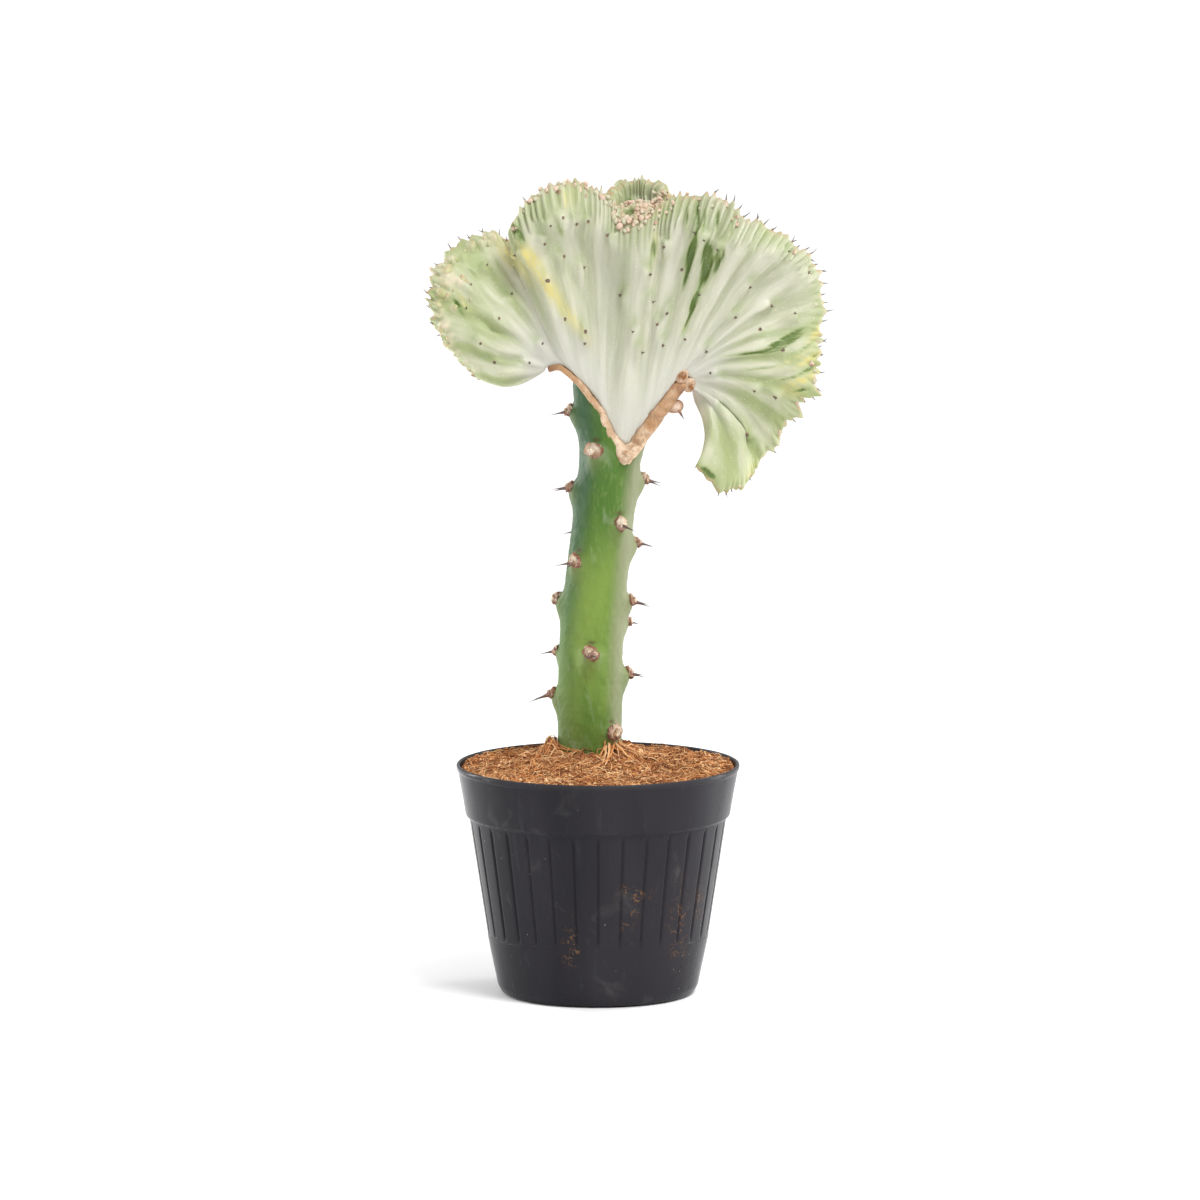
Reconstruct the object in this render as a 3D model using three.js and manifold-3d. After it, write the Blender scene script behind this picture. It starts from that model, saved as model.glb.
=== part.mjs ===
// Potted crested elkhorn: a crested euphorbia fan, grafted on a green euphorbia stem in a nursery pot.
// Millimetres, +Z up. The origin is the centre of the pot's flat underside, and the front faces -Y.
import * as THREE from 'three';
import { mergeVertices } from 'three/addons/utils/BufferGeometryUtils.js';
import Module from 'manifold-3d';

const wasm = await Module();
wasm.setup();

// Driving dimensions of the pot.
const RIM_RADIUS = 55;
const POT_HEIGHT = 90.5;
const WALL = 1.2;
const FLOOR = 1.6;
const BASE_RADIUS = 35;
const COLLAR_FOOT = 70.5;
const COLLAR_RADIUS = 51.3;
const FLUTE_FOOT = 23.7;
const FLUTES = 32;
const FLUTE_DEPTH = 0.8;
const FLUTE_SHARE = 0.14;
const DRAIN_HOLES = 8;
const DRAIN_RADIUS = 2.6;
const DRAIN_CIRCLE = 24;

// Driving dimensions of the coir, the stem and the graft.
const GAP = 0.3;
const SOIL_LEVEL = 88.6;
const SOIL_RADIUS = 52.6;
const SOIL_SIDES = 48;
const MOUND_HEIGHT = 10;
const MOUND_SPREAD = 21;
const HOLE_FLOOR = 46;
const HOLE_ROOM = 1.04;
const HEAP = 0.6;
const CRUMB = 2.2;
const STEM_RADIUS = 12.4;
const STEM_LENGTH = 184;
const STEM_SIDES = 20;
const BOSS_TOP = 2.4;
const BOSS_FOOT = 4.8;
const BOSS_HEIGHT = 5.2;
const STEM_SPINE = 4.4;
const STEM_FOOT = new THREE.Vector3(-3.4, 7, HOLE_FLOOR + GAP);
const STEM_LEAN = [-3.4, -3.4, -3.4, -3.1, -2.6, -0.7, 1.9, 4.6, 7.4];
const ARM_STATIONS = 12;
const CALLUS_SIDES = 12;
const CALLUS_LUMP = 0.07;
const POINT_REACH = 4.4;
const POINT_WIDTH = 0.3;

// Driving dimensions of the crest.
const NECK_DEPTH = 2;
const BODY_THICKNESS = 8.5;
const RIM_THICKNESS = 5.2;
const RIBS = 90;
const RIDGES = 21;
const RIB_HEIGHT = 1.3;
const RIDGE_HEIGHT = 1.3;
const TOOTH = 1.5;
const RIM_TOOTH_REACH = 0.011;
const FACE_SPINE = 3.2;
const BACK_AREOLES = 30;
const RIM_SPINES = 32;
const GOLDEN = 0.618;
const BELLY = 2.5;

const fract = (x) => x - Math.floor(x);
const smooth = (a, b, x) => THREE.MathUtils.smoothstep(x, a, b);
const bell = (x, centre, width) => Math.exp(-(((x - centre) / width) ** 2));

// A seeded draw, the same on each run.
function seeded(seed) {
  let state = seed;
  return () => {
    state = (state * 16807) % 2147483647;
    return state / 2147483647;
  };
}

// Smooth value at t (0 to 1) through equally spaced control values.
function along(values, t) {
  const spans = values.length - 1;
  const place = THREE.MathUtils.clamp(t, 0, 1) * spans;
  const i = Math.min(Math.floor(place), spans - 1);
  const f = place - i;
  const at = (k) => values[THREE.MathUtils.clamp(k, 0, spans)];
  const [a, b, c, d] = [at(i - 1), at(i), at(i + 1), at(i + 2)];
  const curve = 2 * b + (c - a) * f + (2 * a - 5 * b + 4 * c - d) * f * f + (3 * b - a - 3 * c + d) * f ** 3;
  return curve / 2;
}

const column = (rows, k) => rows.map((row) => row[k]);

// Welds a triangle list into a closed BufferGeometry, without triangles that have no area.
function weld(positions, index) {
  const loose = new THREE.BufferGeometry();
  loose.setAttribute('position', new THREE.Float32BufferAttribute(positions, 3));
  loose.setIndex(index);
  const joined = mergeVertices(loose, 1e-4);
  const kept = [];
  const order = joined.index.array;
  for (let i = 0; i < order.length; i += 3) {
    const [a, b, c] = [order[i], order[i + 1], order[i + 2]];
    if (a !== b && b !== c && c !== a) kept.push(a, b, c);
  }
  joined.setIndex(kept);
  return joined;
}

// A closed skin over rings of points of one count, each end closed by a fan to its own centre.
function skin(rings) {
  const count = rings[0].length;
  const positions = rings.flat().flatMap((p) => p.toArray());
  const index = [];
  for (let r = 0; r + 1 < rings.length; r++) {
    for (let i = 0; i < count; i++) {
      const next = (i + 1) % count;
      const [a, b] = [r * count + i, r * count + next];
      const [c, d] = [a + count, b + count];
      index.push(a, b, d, a, d, c);
    }
  }
  for (const [r, flip] of [[0, true], [rings.length - 1, false]]) {
    const centre = rings[r].reduce((sum, p) => sum.add(p), new THREE.Vector3()).divideScalar(count);
    const hub = positions.length / 3;
    positions.push(...centre.toArray());
    for (let i = 0; i < count; i++) {
      const [a, b] = [r * count + i, r * count + (i + 1) % count];
      index.push(...(flip ? [b, a, hub] : [a, b, hub]));
    }
  }
  return weld(positions, index);
}

const ring = (count, pointAt) => Array.from({ length: count }, (_, i) => pointAt(i));

function solid(geometry) {
  const bare = geometry.clone();
  bare.deleteAttribute('normal');
  bare.deleteAttribute('uv');
  const joined = mergeVertices(bare, 1e-4);
  const vertProperties = new Float32Array(joined.attributes.position.array);
  const triVerts = new Uint32Array(joined.index.array);
  return new wasm.Manifold(new wasm.Mesh({ numProp: 3, vertProperties, triVerts }));
}

function geometryOf(body) {
  const mesh = body.getMesh();
  const geometry = new THREE.BufferGeometry();
  geometry.setAttribute('position', new THREE.Float32BufferAttribute(mesh.vertProperties, 3));
  geometry.setIndex(new THREE.Uint32BufferAttribute(mesh.triVerts, 1));
  return geometry;
}

// A three-sided spine whose root is sunk into what it grows from.
function spine(foot, direction, length, radius, sink = 1.2) {
  const geometry = new THREE.ConeGeometry(radius, length + sink, 3);
  geometry.translate(0, (length + sink) / 2 - sink, 0);
  const up = new THREE.Vector3(0, 1, 0);
  geometry.applyQuaternion(new THREE.Quaternion().setFromUnitVectors(up, direction.clone().normalize()));
  geometry.translate(foot.x, foot.y, foot.z);
  return solid(geometry);
}

const join = (bodies) => bodies.reduce((whole, body) => whole.add(body));

// The pot: one wall that is lofted from its underside over the rim and down the inside to its floor.
function potGeometry() {
  const around = FLUTES * 3;
  // [radius, height, depth of the flutes there]
  const outside = [
    [BASE_RADIUS, 0, 0], [BASE_RADIUS + 2.6, 0.9, 0], [BASE_RADIUS + 4.2, 3.4, 0],
    [43.3, FLUTE_FOOT, 0], [43.5, FLUTE_FOOT + 0.8, FLUTE_DEPTH],
    [50.6, COLLAR_FOOT - 0.8, FLUTE_DEPTH], [COLLAR_RADIUS, COLLAR_FOOT, 0],
    [RIM_RADIUS, POT_HEIGHT - 0.8, 0], [RIM_RADIUS - 0.3, POT_HEIGHT, 0],
  ];
  const inside = [
    [RIM_RADIUS - WALL, POT_HEIGHT, 0], [COLLAR_RADIUS - 2.1, COLLAR_FOOT, 0], [41.6, FLUTE_FOOT, 0],
    [BASE_RADIUS + 3, FLOOR + 1.4, 0], [BASE_RADIUS + 1, FLOOR, 0],
  ];
  const rings = [...outside, ...inside].map(([radius, height, flute]) => ring(around, (i) => {
    const place = Math.floor(i / 3) + FLUTE_SHARE * ((i % 3) - 1);
    const angle = (place / FLUTES) * 2 * Math.PI;
    const groove = i % 3 === 1 ? flute : 0;
    const reach = radius - groove;
    return new THREE.Vector3(reach * Math.cos(angle), reach * Math.sin(angle), height);
  }));
  let body = solid(skin(rings));
  for (let k = 0; k < DRAIN_HOLES; k++) {
    const angle = ((k + 0.5) / DRAIN_HOLES) * 2 * Math.PI;
    const hole = new THREE.CylinderGeometry(DRAIN_RADIUS, DRAIN_RADIUS, FLOOR * 4, 8);
    hole.rotateX(Math.PI / 2);
    hole.translate(DRAIN_CIRCLE * Math.cos(angle), DRAIN_CIRCLE * Math.sin(angle), 0);
    body = body.subtract(solid(hole));
  }
  return geometryOf(body);
}

// The axis of the stem: upright in the coir, then leaning a little to the right.
const stemAxis = (height) => {
  const lean = along(STEM_LEAN, (height - HOLE_FLOOR) / STEM_LENGTH);
  const back = THREE.MathUtils.lerp(STEM_FOOT.y, NECK_DEPTH, smooth(90, 220, height));
  return new THREE.Vector3(lean, back, height);
};

// Crumbs on top of the coir: broad waves for its heaps, and a seeded draw for the fibre on them.
function crumb(x, y, draw) {
  const heap = Math.sin(x * 0.31 + 1.3 * Math.sin(y * 0.21)) * Math.cos(y * 0.27 + 1.1 * Math.sin(x * 0.13));
  return HEAP * heap + CRUMB * (draw() - 0.5);
}

// The coir: fills the pot, with a plain round hole for the stem and a low mound round it.
function soilGeometry() {
  const holeRadius = STEM_RADIUS * HOLE_ROOM + GAP;
  const foot = new THREE.Vector2(STEM_FOOT.x, STEM_FOOT.y);
  const circle = (radius, height, inward = 0) => ring(SOIL_SIDES, (i) => {
    const angle = (i / SOIL_SIDES) * 2 * Math.PI;
    const x = radius * Math.cos(angle) + foot.x * inward;
    const y = radius * Math.sin(angle) + foot.y * inward;
    return new THREE.Vector3(x, y, height);
  });
  const draw = seeded(19);
  const top = [0, 0.08, 0.18, 0.28, 0.38, 0.49, 0.6, 0.7, 0.8, 0.9, 1].map((t) => {
    const radius = THREE.MathUtils.lerp(holeRadius, SOIL_RADIUS, t);
    const turned = circle(radius, 0, 1 - t);
    for (const p of turned) {
      const away = Math.hypot(p.x - foot.x, p.y - foot.y);
      const left = 4.5 * bell(p.x, foot.x - 15.5, 4) * bell(p.y, foot.y - 2, 5);
      const right = 2.5 * bell(p.x, foot.x + 16, 5) * bell(p.y, foot.y - 2, 6);
      const mound = MOUND_HEIGHT * bell(away, 0, MOUND_SPREAD) + left + right;
      const rough = t === 0 || t === 1 ? 0 : crumb(p.x, p.y, draw);
      p.z = SOIL_LEVEL + mound + rough;
    }
    return turned;
  });
  return skin([
    circle(holeRadius, HOLE_FLOOR, 1),
    ...top,
    circle(COLLAR_RADIUS - 2.6, COLLAR_FOOT),
    circle(40.9, FLUTE_FOOT),
    circle(BASE_RADIUS + 2.2, FLOOR + 1.9),
    circle(BASE_RADIUS + 0.6, FLOOR + GAP),
  ].map((points) => points.reverse()));
}

// Tubercles of the stem: [height, bearing in degrees from the front towards +X, spines].
const TUBERCLES = [
  [103, 43, 0], [117, -92, 2], [125, 93, 2], [128, 160, 2], [133, -118, 1], [135, 0, 2], [145, 112, 1],
  [149, -160, 2], [154.5, -95, 0], [154, 88, 2], [163, 172, 2], [171, -43, 2], [177, 95, 2], [180, -140, 2],
  [186, 30, 2], [191, 150, 2], [199, -92, 2], [202, 95, 2], [207, -172, 2], [215, -30, 0], [229, -92, 1],
];

// Half the width of the stem at a height: it swells a little at its foot and flares under the graft.
const stemRadius = (height) => {
  const slim = 0.045 * smooth(120, 190, height);
  const flare = 0.4 * smooth(206, 240, height);
  return STEM_RADIUS * (1 - slim + flare);
};

function stemPoint(height, angle, lift = 0) {
  const axis = stemAxis(height);
  const soft = 1 + 0.022 * Math.cos(5 * angle + height * 0.012);
  const deep = THREE.MathUtils.lerp(1, 0.72, smooth(206, 240, height));
  const reach = stemRadius(height) * soft + lift;
  return axis.clone().add(new THREE.Vector3(reach * Math.cos(angle), reach * deep * Math.sin(angle), 0));
}

// One tubercle: a six-sided corky boss with its pair of spines.
function tubercle([height, bearing, spines]) {
  const angle = THREE.MathUtils.degToRad(bearing - 90);
  const foot = stemPoint(height, angle, -1.5);
  const out = new THREE.Vector3(Math.cos(angle), Math.sin(angle), 0.12).normalize();
  const boss = new THREE.CylinderGeometry(BOSS_TOP, BOSS_FOOT, BOSS_HEIGHT, 6);
  boss.translate(0, BOSS_HEIGHT / 2, 0);
  boss.applyQuaternion(new THREE.Quaternion().setFromUnitVectors(new THREE.Vector3(0, 1, 0), out));
  boss.translate(foot.x, foot.y, foot.z);
  const tip = foot.clone().addScaledVector(out, BOSS_HEIGHT - 0.2);
  const side = new THREE.Vector3(-Math.sin(angle), Math.cos(angle), 0);
  const bodies = [solid(boss)];
  for (let k = 0; k < spines; k++) {
    const lean = side.clone().multiplyScalar(k === 0 ? 0.55 : -0.55).add(out);
    bodies.push(spine(tip, lean, STEM_SPINE, 0.6));
  }
  return join(bodies);
}

// The centre lines of the two arms of the graft's V, the left one from its tip down to the V's point and the
// right one from there up to its tip: [x, z, half the width across the line, half the depth].
const LEFT_ARM = [
  [-19.4, 245.2, 0.9, 4.0], [-14.9, 246.2, 1.2, 6.0], [-9.8, 242.6, 1.4, 7.6], [-4.6, 236.9, 1.5, 9.4],
  [0.2, 230.0, 1.7, 11.0], [4.7, 221.0, 1.8, 12.2], [9.9, 211.8, 3.1, 12.8],
];
const RIGHT_ARM = [
  [9.9, 211.8, 3.9, 12.8], [14.4, 216.0, 2.7, 12.4], [18.9, 222.2, 2.6, 11.4], [23.5, 228.2, 2.5, 10.0],
  [28.4, 234.8, 2.3, 8.4], [33.8, 241.2, 1.9, 6.6],
];

function armAt(arm, t) {
  const [x, z, half, deep] = [0, 1, 2, 3].map((k) => along(column(arm, k), t));
  return { x, z, half, deep };
}

// One arm of the callus: a rounded band that follows its line, grown on every side by the margin. The left
// arm runs on past the V's lowest station to a point.
function armSolid(arm, margin) {
  const rings = [];
  const ringAt = (t, stretch, width) => {
    const here = armAt(arm, t);
    const [before, after] = [armAt(arm, Math.max(t - 0.02, 0)), armAt(arm, Math.min(t + 0.02, 1))];
    const run = new THREE.Vector2(after.x - before.x, after.z - before.z).normalize();
    rings.push(ring(CALLUS_SIDES, (i) => {
      const angle = (i / CALLUS_SIDES) * 2 * Math.PI;
      const [c, d] = [Math.cos(angle), Math.sin(angle)];
      const across = (here.half * width + margin) * Math.sign(c) * Math.abs(c) ** 0.7;
      const depth = (here.deep + margin) * Math.sign(d) * Math.abs(d) ** 0.7;
      const lump = 1 + CALLUS_LUMP * Math.sin(t * ARM_STATIONS * 1.9 + i * 1.3);
      return new THREE.Vector3(
        here.x - run.y * across * lump + run.x * stretch,
        NECK_DEPTH + depth * Math.sqrt(width),
        here.z + run.x * across * lump + run.y * stretch,
      );
    }).reverse());
  };
  for (let s = 0; s <= ARM_STATIONS; s++) {
    const end = s === 0 ? -margin : s === ARM_STATIONS ? margin : 0;
    ringAt(s / ARM_STATIONS, end, 1);
  }
  if (arm === LEFT_ARM) ringAt(1, POINT_REACH + margin, POINT_WIDTH);
  return solid(skin(rings));
}

const callusSolid = (margin) => armSolid(LEFT_ARM, margin).add(armSolid(RIGHT_ARM, margin));

// The callus with the corky nodule and its spine under the right arm.
function callusGeometry() {
  const nodule = new THREE.IcosahedronGeometry(2.7, 0);
  nodule.translate(30.6, NECK_DEPTH - 3, 231.4);
  const thornFoot = new THREE.Vector3(31.4, NECK_DEPTH - 4, 229.6);
  const thorn = spine(thornFoot, new THREE.Vector3(0.5, -0.35, -0.8), 3.4, 0.6);
  return geometryOf(join([callusSolid(0), solid(nodule), thorn]));
}

// The space that the V encloses, which the stem leaves free for the crest.
function cleftSolid() {
  const outline = new THREE.Shape();
  const [start] = LEFT_ARM;
  const stations = (arm) => ring(ARM_STATIONS + 1, (s) => armAt(arm, s / ARM_STATIONS));
  const line = [...stations(LEFT_ARM), ...stations(RIGHT_ARM)];
  outline.moveTo(start[0] - 60, start[1] + 1);
  for (const here of line) outline.lineTo(here.x, here.z);
  outline.lineTo(line.at(-1).x + 60, 300);
  outline.lineTo(start[0] - 60, 300);
  const block = new THREE.ExtrudeGeometry(outline, { depth: 100, bevelEnabled: false });
  block.rotateX(Math.PI / 2);
  block.translate(0, 50 + NECK_DEPTH, 0);
  return solid(block);
}

function stemGeometry() {
  const shaft = [STEM_FOOT.z, 60, 80, 96, 112, 128, 144, 160, 176, 190, 200];
  const heights = [...shaft, 208, 214, 220, 226, 232, 240, 246];
  const rings = heights.map((height) => ring(STEM_SIDES, (i) => {
    return stemPoint(height, (i / STEM_SIDES) * 2 * Math.PI);
  }));
  const stem = join([solid(skin(rings)), ...TUBERCLES.map(tubercle)]);
  return geometryOf(largest(stem.subtract(callusSolid(GAP)).subtract(cleftSolid())));
}

// The largest body of what a cut leaves.
function largest(body) {
  const pieces = body.decompose();
  return pieces.reduce((best, piece) => (piece.volume() > best.volume() ? piece : best));
}

// The mean line of the crest's rim, [x, y, z], from under the left lobe over the top to the hanging lobe.
const RIM_LINE = [
  [-47.0, 4, 242.5], [-53.8, -2, 252.6], [-61.6, -8, 264.4], [-64.0, -10, 277.6], [-60.0, -4, 287.6],
  [-49.6, 6, 294.8], [-38.4, 12, 296.2], [-31.6, 3, 291.6], [-32.6, -8, 304.3], [-25.2, -8, 313.8],
  [-14.8, -2, 319.0], [-3.9, 3, 317.2], [4.7, 2, 312.8], [10.9, -8, 305.4], [19.5, -10, 307.2],
  [27.3, -4, 313.3], [37.6, -8, 314.8], [48.6, -10, 313.6], [57.8, -8, 305.4], [67.9, -2, 300.4],
  [77.1, 4, 293.2], [84.4, 9, 284.4], [87.0, 10, 271.5], [86.0, 4, 260.4], [84.8, -4, 250.2],
  [83.4, -10, 240.0], [75.6, -6, 231.0], [69.6, 0, 218.0], [60.6, 2, 207.6], [56.4, -4, 202.0],
  [48.6, -10, 200.4], [37.8, -14, 209.6],
];

// Where the rays of the crest start, at places spread evenly along the rim: a gap inside the callus and round
// both its tips, [x, z, half the flesh's thickness there].
const NECK_LINE = [
  [-20.8, 244.8, 2.4], [-20.3, 246.4, 2.8], [-18.8, 247.3, 3.4], [-16.6, 247.9, 4.4], [-13.4, 247.6, 5.4],
  [-9.0, 244.6, 6.4], [-4.4, 239.9, 7.4], [0.8, 233.2, 8.4], [5.9, 223.9, 9.2], [10.5, 217.4, 9.8],
  [15.8, 223.5, 8.8], [21.2, 231.0, 7.6], [26.2, 237.6, 6.4], [30.8, 242.6, 5.6], [33.0, 243.9, 5.2],
  [34.8, 243.8, 4.8], [36.0, 242.9, 4.4], [36.5, 241.7, 4.2], [36.5, 240.6, 4.2], [36.2, 239.7, 4.2],
  [35.4, 238.7, 4.6],
];

function neckPoint(u) {
  const [x, z, half] = [0, 1, 2].map((k) => along(column(NECK_LINE, k), u));
  return { x, z, half };
}

// How far each ray bows away from the straight line between its ends, [x, z].
const RAY_BOW = [
  [0, -8], [0, 3], [0, 6], [-3, 4], [-1, 0], [0, 0], [-1, 6], [0, 8], [2, 8], [6, 6], [11, 2],
];

// How far the shoulder under the rim stands forward, at places spread evenly along the rim.
const SHOULDER = [1, 2, 2, 3, 2, 3, 7, 8, 5, 4, 7, 8, 5, 2, 1, 2, 1, 2, 2, 1];

// The large teeth of the rim: [place along it in half ribs, how far the tooth stands out].
const RIM_TEETH = [
  [7, 5.0], [12, 3.2], [17, 1.4], [22, 1.8], [25, 1.6], [27, 1.8], [30, 1.4], [107, 2.4],
  [130, 2.4], [146, 4.4], [151, 4.8], [157, 1.4], [162, 1.4], [169, 2.0], [175, 2.0],
];

const rimTooth = (u) => Math.max(...RIM_TEETH.map(([place, size]) => {
  return size * Math.max(0, 1 - Math.abs(u - place / (RIBS * 2)) / RIM_TOOTH_REACH);
}));

const MAIN = { rim: RIM_LINE, neck: neckPoint, bow: RAY_BOW, shoulder: SHOULDER, ribs: RIBS, seed: 0 };

// The fold behind the middle of the rim: a small fan that rises out of the back of the main one and closes a
// pocket behind it.
const BACK_FOLD = {
  rim: [
    [4.2, 3, 310.0], [6.6, 13, 314.4], [11.4, 18, 316.8],
    [18.4, 18, 317.2], [24.8, 14, 315.4], [27.6, 2, 311.4],
  ],
  neck: (u) => ({ x: THREE.MathUtils.lerp(10, 20, u), z: 268, half: 3.4 }),
  bow: [[-3, 0], [0, 0], [3, 0]],
  shoulder: [0, -3, -4, -3, 0],
  ribs: 16,
  seed: 4,
};

// The middle of the crest's flesh at u along the rim and v from the neck to the rim.
function midPoint(sheet, u, v) {
  const rim = [0, 1, 2].map((k) => along(column(sheet.rim, k), u));
  const neck = sheet.neck(u);
  const bow = [0, 1].map((k) => along(column(sheet.bow, k), u));
  const hump = 2 * v * (1 - v);
  const x = THREE.MathUtils.lerp(neck.x, rim[0], v) + hump * bow[0];
  const z = THREE.MathUtils.lerp(neck.z, rim[2], v) + hump * bow[1];
  const fold = THREE.MathUtils.lerp(NECK_DEPTH, rim[1], v ** 1.4);
  const shoulder = along(sheet.shoulder, u) * bell(v, 0.85, 0.12);
  return new THREE.Vector3(x, fold - shoulder - BELLY * Math.sin(Math.PI * v) ** 2, z);
}

function midNormal(sheet, u, v) {
  const e = 0.004;
  const across = midPoint(sheet, Math.min(u + e, 1), v).sub(midPoint(sheet, Math.max(u - e, 0), v));
  const up = midPoint(sheet, u, Math.min(v + e, 1)).sub(midPoint(sheet, u, Math.max(v - e, 0)));
  return across.cross(up).normalize();
}

// Half the flesh's thickness: a thick neck, a thinner body, and round edges at the rim and at both ends.
function halfThickness(sheet, u, v) {
  const body = THREE.MathUtils.lerp(sheet.neck(u).half * 2, BODY_THICKNESS, smooth(0, 0.45, v));
  const thick = THREE.MathUtils.lerp(body, RIM_THICKNESS, smooth(0.4, 0.92, v));
  const rimRound = Math.sqrt(1 - THREE.MathUtils.clamp((v - 0.9) / 0.1, 0, 1) ** 2);
  const nearEnd = Math.min(u, 1 - u) / 0.035;
  const endRound = Math.sqrt(1 - (1 - THREE.MathUtils.clamp(nearEnd, 0, 1)) ** 2);
  return (thick / 2) * rimRound * endRound;
}

// Relief on a face: broad ridges that fan out from the neck, and ribs that sharpen towards the rim.
function relief(sheet, u, v, side) {
  const phase = side > 0 ? 0 : 1.7;
  const wander = 0.9 * Math.sin(9 * u + phase) + 0.5 * Math.sin(23 * u + 2 * phase);
  const ridge = 2 * Math.abs(Math.cos(Math.PI * RIDGES * u + 1.5 * wander)) ** 0.75 - 1;
  const valley = 1 - 2 * Math.abs(2 * fract(sheet.ribs * u) - 1);
  const ridgeFade = smooth(0.12, 0.4, v) * (1 - 0.6 * smooth(0.75, 0.95, v));
  const ribFade = smooth(0.66, 0.86, v) * (1 - smooth(0.97, 1, v));
  return RIDGE_HEIGHT * ridge * ridgeFade - (RIB_HEIGHT / 2) * valley * ribFade;
}

function crestSheet(sheet, rowsAt) {
  const columns = sheet.ribs * 2;
  const rows = rowsAt.length;
  const positions = [];
  for (const side of [1, -1]) {
    for (let i = 0; i <= columns; i++) {
      const u = i / columns;
      const small = TOOTH * (i % 2 === 0 ? 1 : 0) * (0.55 + 0.45 * Math.sin(i * 2.3 + sheet.seed));
      const tooth = sheet === MAIN ? Math.max(small, rimTooth(u)) : small;
      for (const v of rowsAt) {
        const middle = midPoint(sheet, u, v);
        const normal = midNormal(sheet, u, v);
        const half = halfThickness(sheet, u, v);
        const raised = half < 0.05 ? 0 : relief(sheet, u, v, side);
        const point = middle.clone().addScaledVector(normal, side * (half + raised * Math.min(1, half / 2)));
        const outward = midPoint(sheet, u, 1).sub(midPoint(sheet, u, 0.9)).normalize();
        point.addScaledVector(outward, tooth * smooth(0.93, 1, v));
        positions.push(...point.toArray());
      }
    }
  }
  // The rim and both ends belong to the two faces together.
  const at = (face, i, j) => {
    const shared = i === 0 || i === columns || j === rows - 1;
    return ((shared ? 0 : face) * (columns + 1) + i) * rows + j;
  };
  const index = [];
  for (let i = 0; i < columns; i++) {
    for (let j = 0; j + 1 < rows; j++) {
      const [a, b, c, d] = [at(0, i, j), at(0, i + 1, j), at(0, i + 1, j + 1), at(0, i, j + 1)];
      const [e, f, g, h] = [at(1, i, j), at(1, i + 1, j), at(1, i + 1, j + 1), at(1, i, j + 1)];
      const corner = i === 0 && j === rows - 2;
      index.push(...(corner ? [a, b, d, b, c, d, e, h, f, f, h, g] : [a, b, c, a, c, d, e, g, f, e, h, g]));
    }
    index.push(at(0, i, 0), at(1, i, 0), at(1, i + 1, 0), at(0, i, 0), at(1, i + 1, 0), at(0, i + 1, 0));
  }
  return weld(positions, index);
}

const ROWS = [0, 0.16, 0.32, 0.48, 0.62, 0.74, 0.84, 0.91, 0.96, 1];
const FOLD_ROWS = [0, 0.35, 0.62, 0.8, 0.9, 0.96, 1];

// Areoles with their spines on the front of the fan, [x, z], seen from the front.
const FRONT_AREOLES = [
  [-29.6, 292.7], [-20.3, 282.5], [-35.1, 274.2], [-13.7, 267.9], [-5.5, 262], [-5.5, 257.7], [-40.6, 265.6],
  [-46.4, 258.1], [-23, 256.1], [-40.6, 251], [-28, 249.4], [-51.1, 279.4], [-53.4, 270.7], [-44.9, 286],
  [-14.8, 291.6], [-6.6, 286], [-20.3, 304.6], [-14.8, 307.3], [-10.1, 305.4], [-4.7, 305.4], [5.5, 299],
  [19.5, 273.8], [26.9, 269.9], [23.4, 265.6], [14, 262.8], [15.6, 254.1], [25, 257.3], [32.8, 260],
  [32.8, 288], [26.1, 297.1], [18.7, 285.7], [39, 302.2], [41.7, 300.6], [47.2, 297.1], [39, 277.4],
  [57.7, 279.4], [41, 254.5], [63.2, 260], [72.5, 251.8], [45.6, 244.7], [71, 238], [45.6, 233.6],
  [58.5, 220.6], [72.2, 292], [80, 283.7], [-22, 299], [10, 276], [52, 268], [66, 271], [76, 266], [62, 240],
];

// The place (u, v) on the sheet whose middle lies nearest to a point that is seen from the front.
function placeOf(x, z) {
  let best = { away: Infinity };
  for (let i = 1; i < 120; i++) {
    for (let j = 4; j < 38; j++) {
      const [u, v] = [i / 120, j / 40];
      const middle = midPoint(MAIN, u, v);
      const away = Math.hypot(middle.x - x, middle.z - z);
      if (away < best.away) best = { away, u, v };
    }
  }
  return best;
}

function facePoint(sheet, u, v, side) {
  const normal = midNormal(sheet, u, v).multiplyScalar(side);
  const reach = halfThickness(sheet, u, v) + relief(sheet, u, v, side);
  return { point: midPoint(sheet, u, v).addScaledVector(normal, reach), normal };
}

// Spines on both faces and along the rim. Those of the back stand where a seeded draw puts them.
function crestSpines() {
  const draw = seeded(71);
  const spines = [];
  const stand = (sheet, u, v, side, length) => {
    const { point, normal } = facePoint(sheet, u, v, side);
    const outward = midPoint(sheet, u, Math.min(v + 0.05, 1)).sub(midPoint(sheet, u, v - 0.05)).normalize();
    spines.push(spine(point, normal.addScaledVector(outward, 0.5), length, 0.55));
  };
  for (const [x, z] of FRONT_AREOLES) {
    const { u, v } = placeOf(x, z);
    stand(MAIN, u, v, 1, FACE_SPINE * 0.7);
  }
  for (let k = 0; k < BACK_AREOLES; k++) {
    stand(MAIN, 0.05 + 0.9 * ((k * GOLDEN) % 1), 0.35 + 0.5 * Math.sqrt(draw()), -1, FACE_SPINE * 0.7);
  }
  for (let k = 1; k < RIM_SPINES; k++) {
    const u = (Math.round((k / RIM_SPINES) * RIBS) * 2) / (RIBS * 2);
    const tip = midPoint(MAIN, u, 1);
    const outward = tip.clone().sub(midPoint(MAIN, u, 0.9)).normalize();
    outward.y += 0.9 * (draw() - 0.5);
    spines.push(spine(tip.addScaledVector(outward, 0.2), outward, FACE_SPINE * (0.7 + 0.5 * draw()), 0.6));
  }
  return spines;
}

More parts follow.
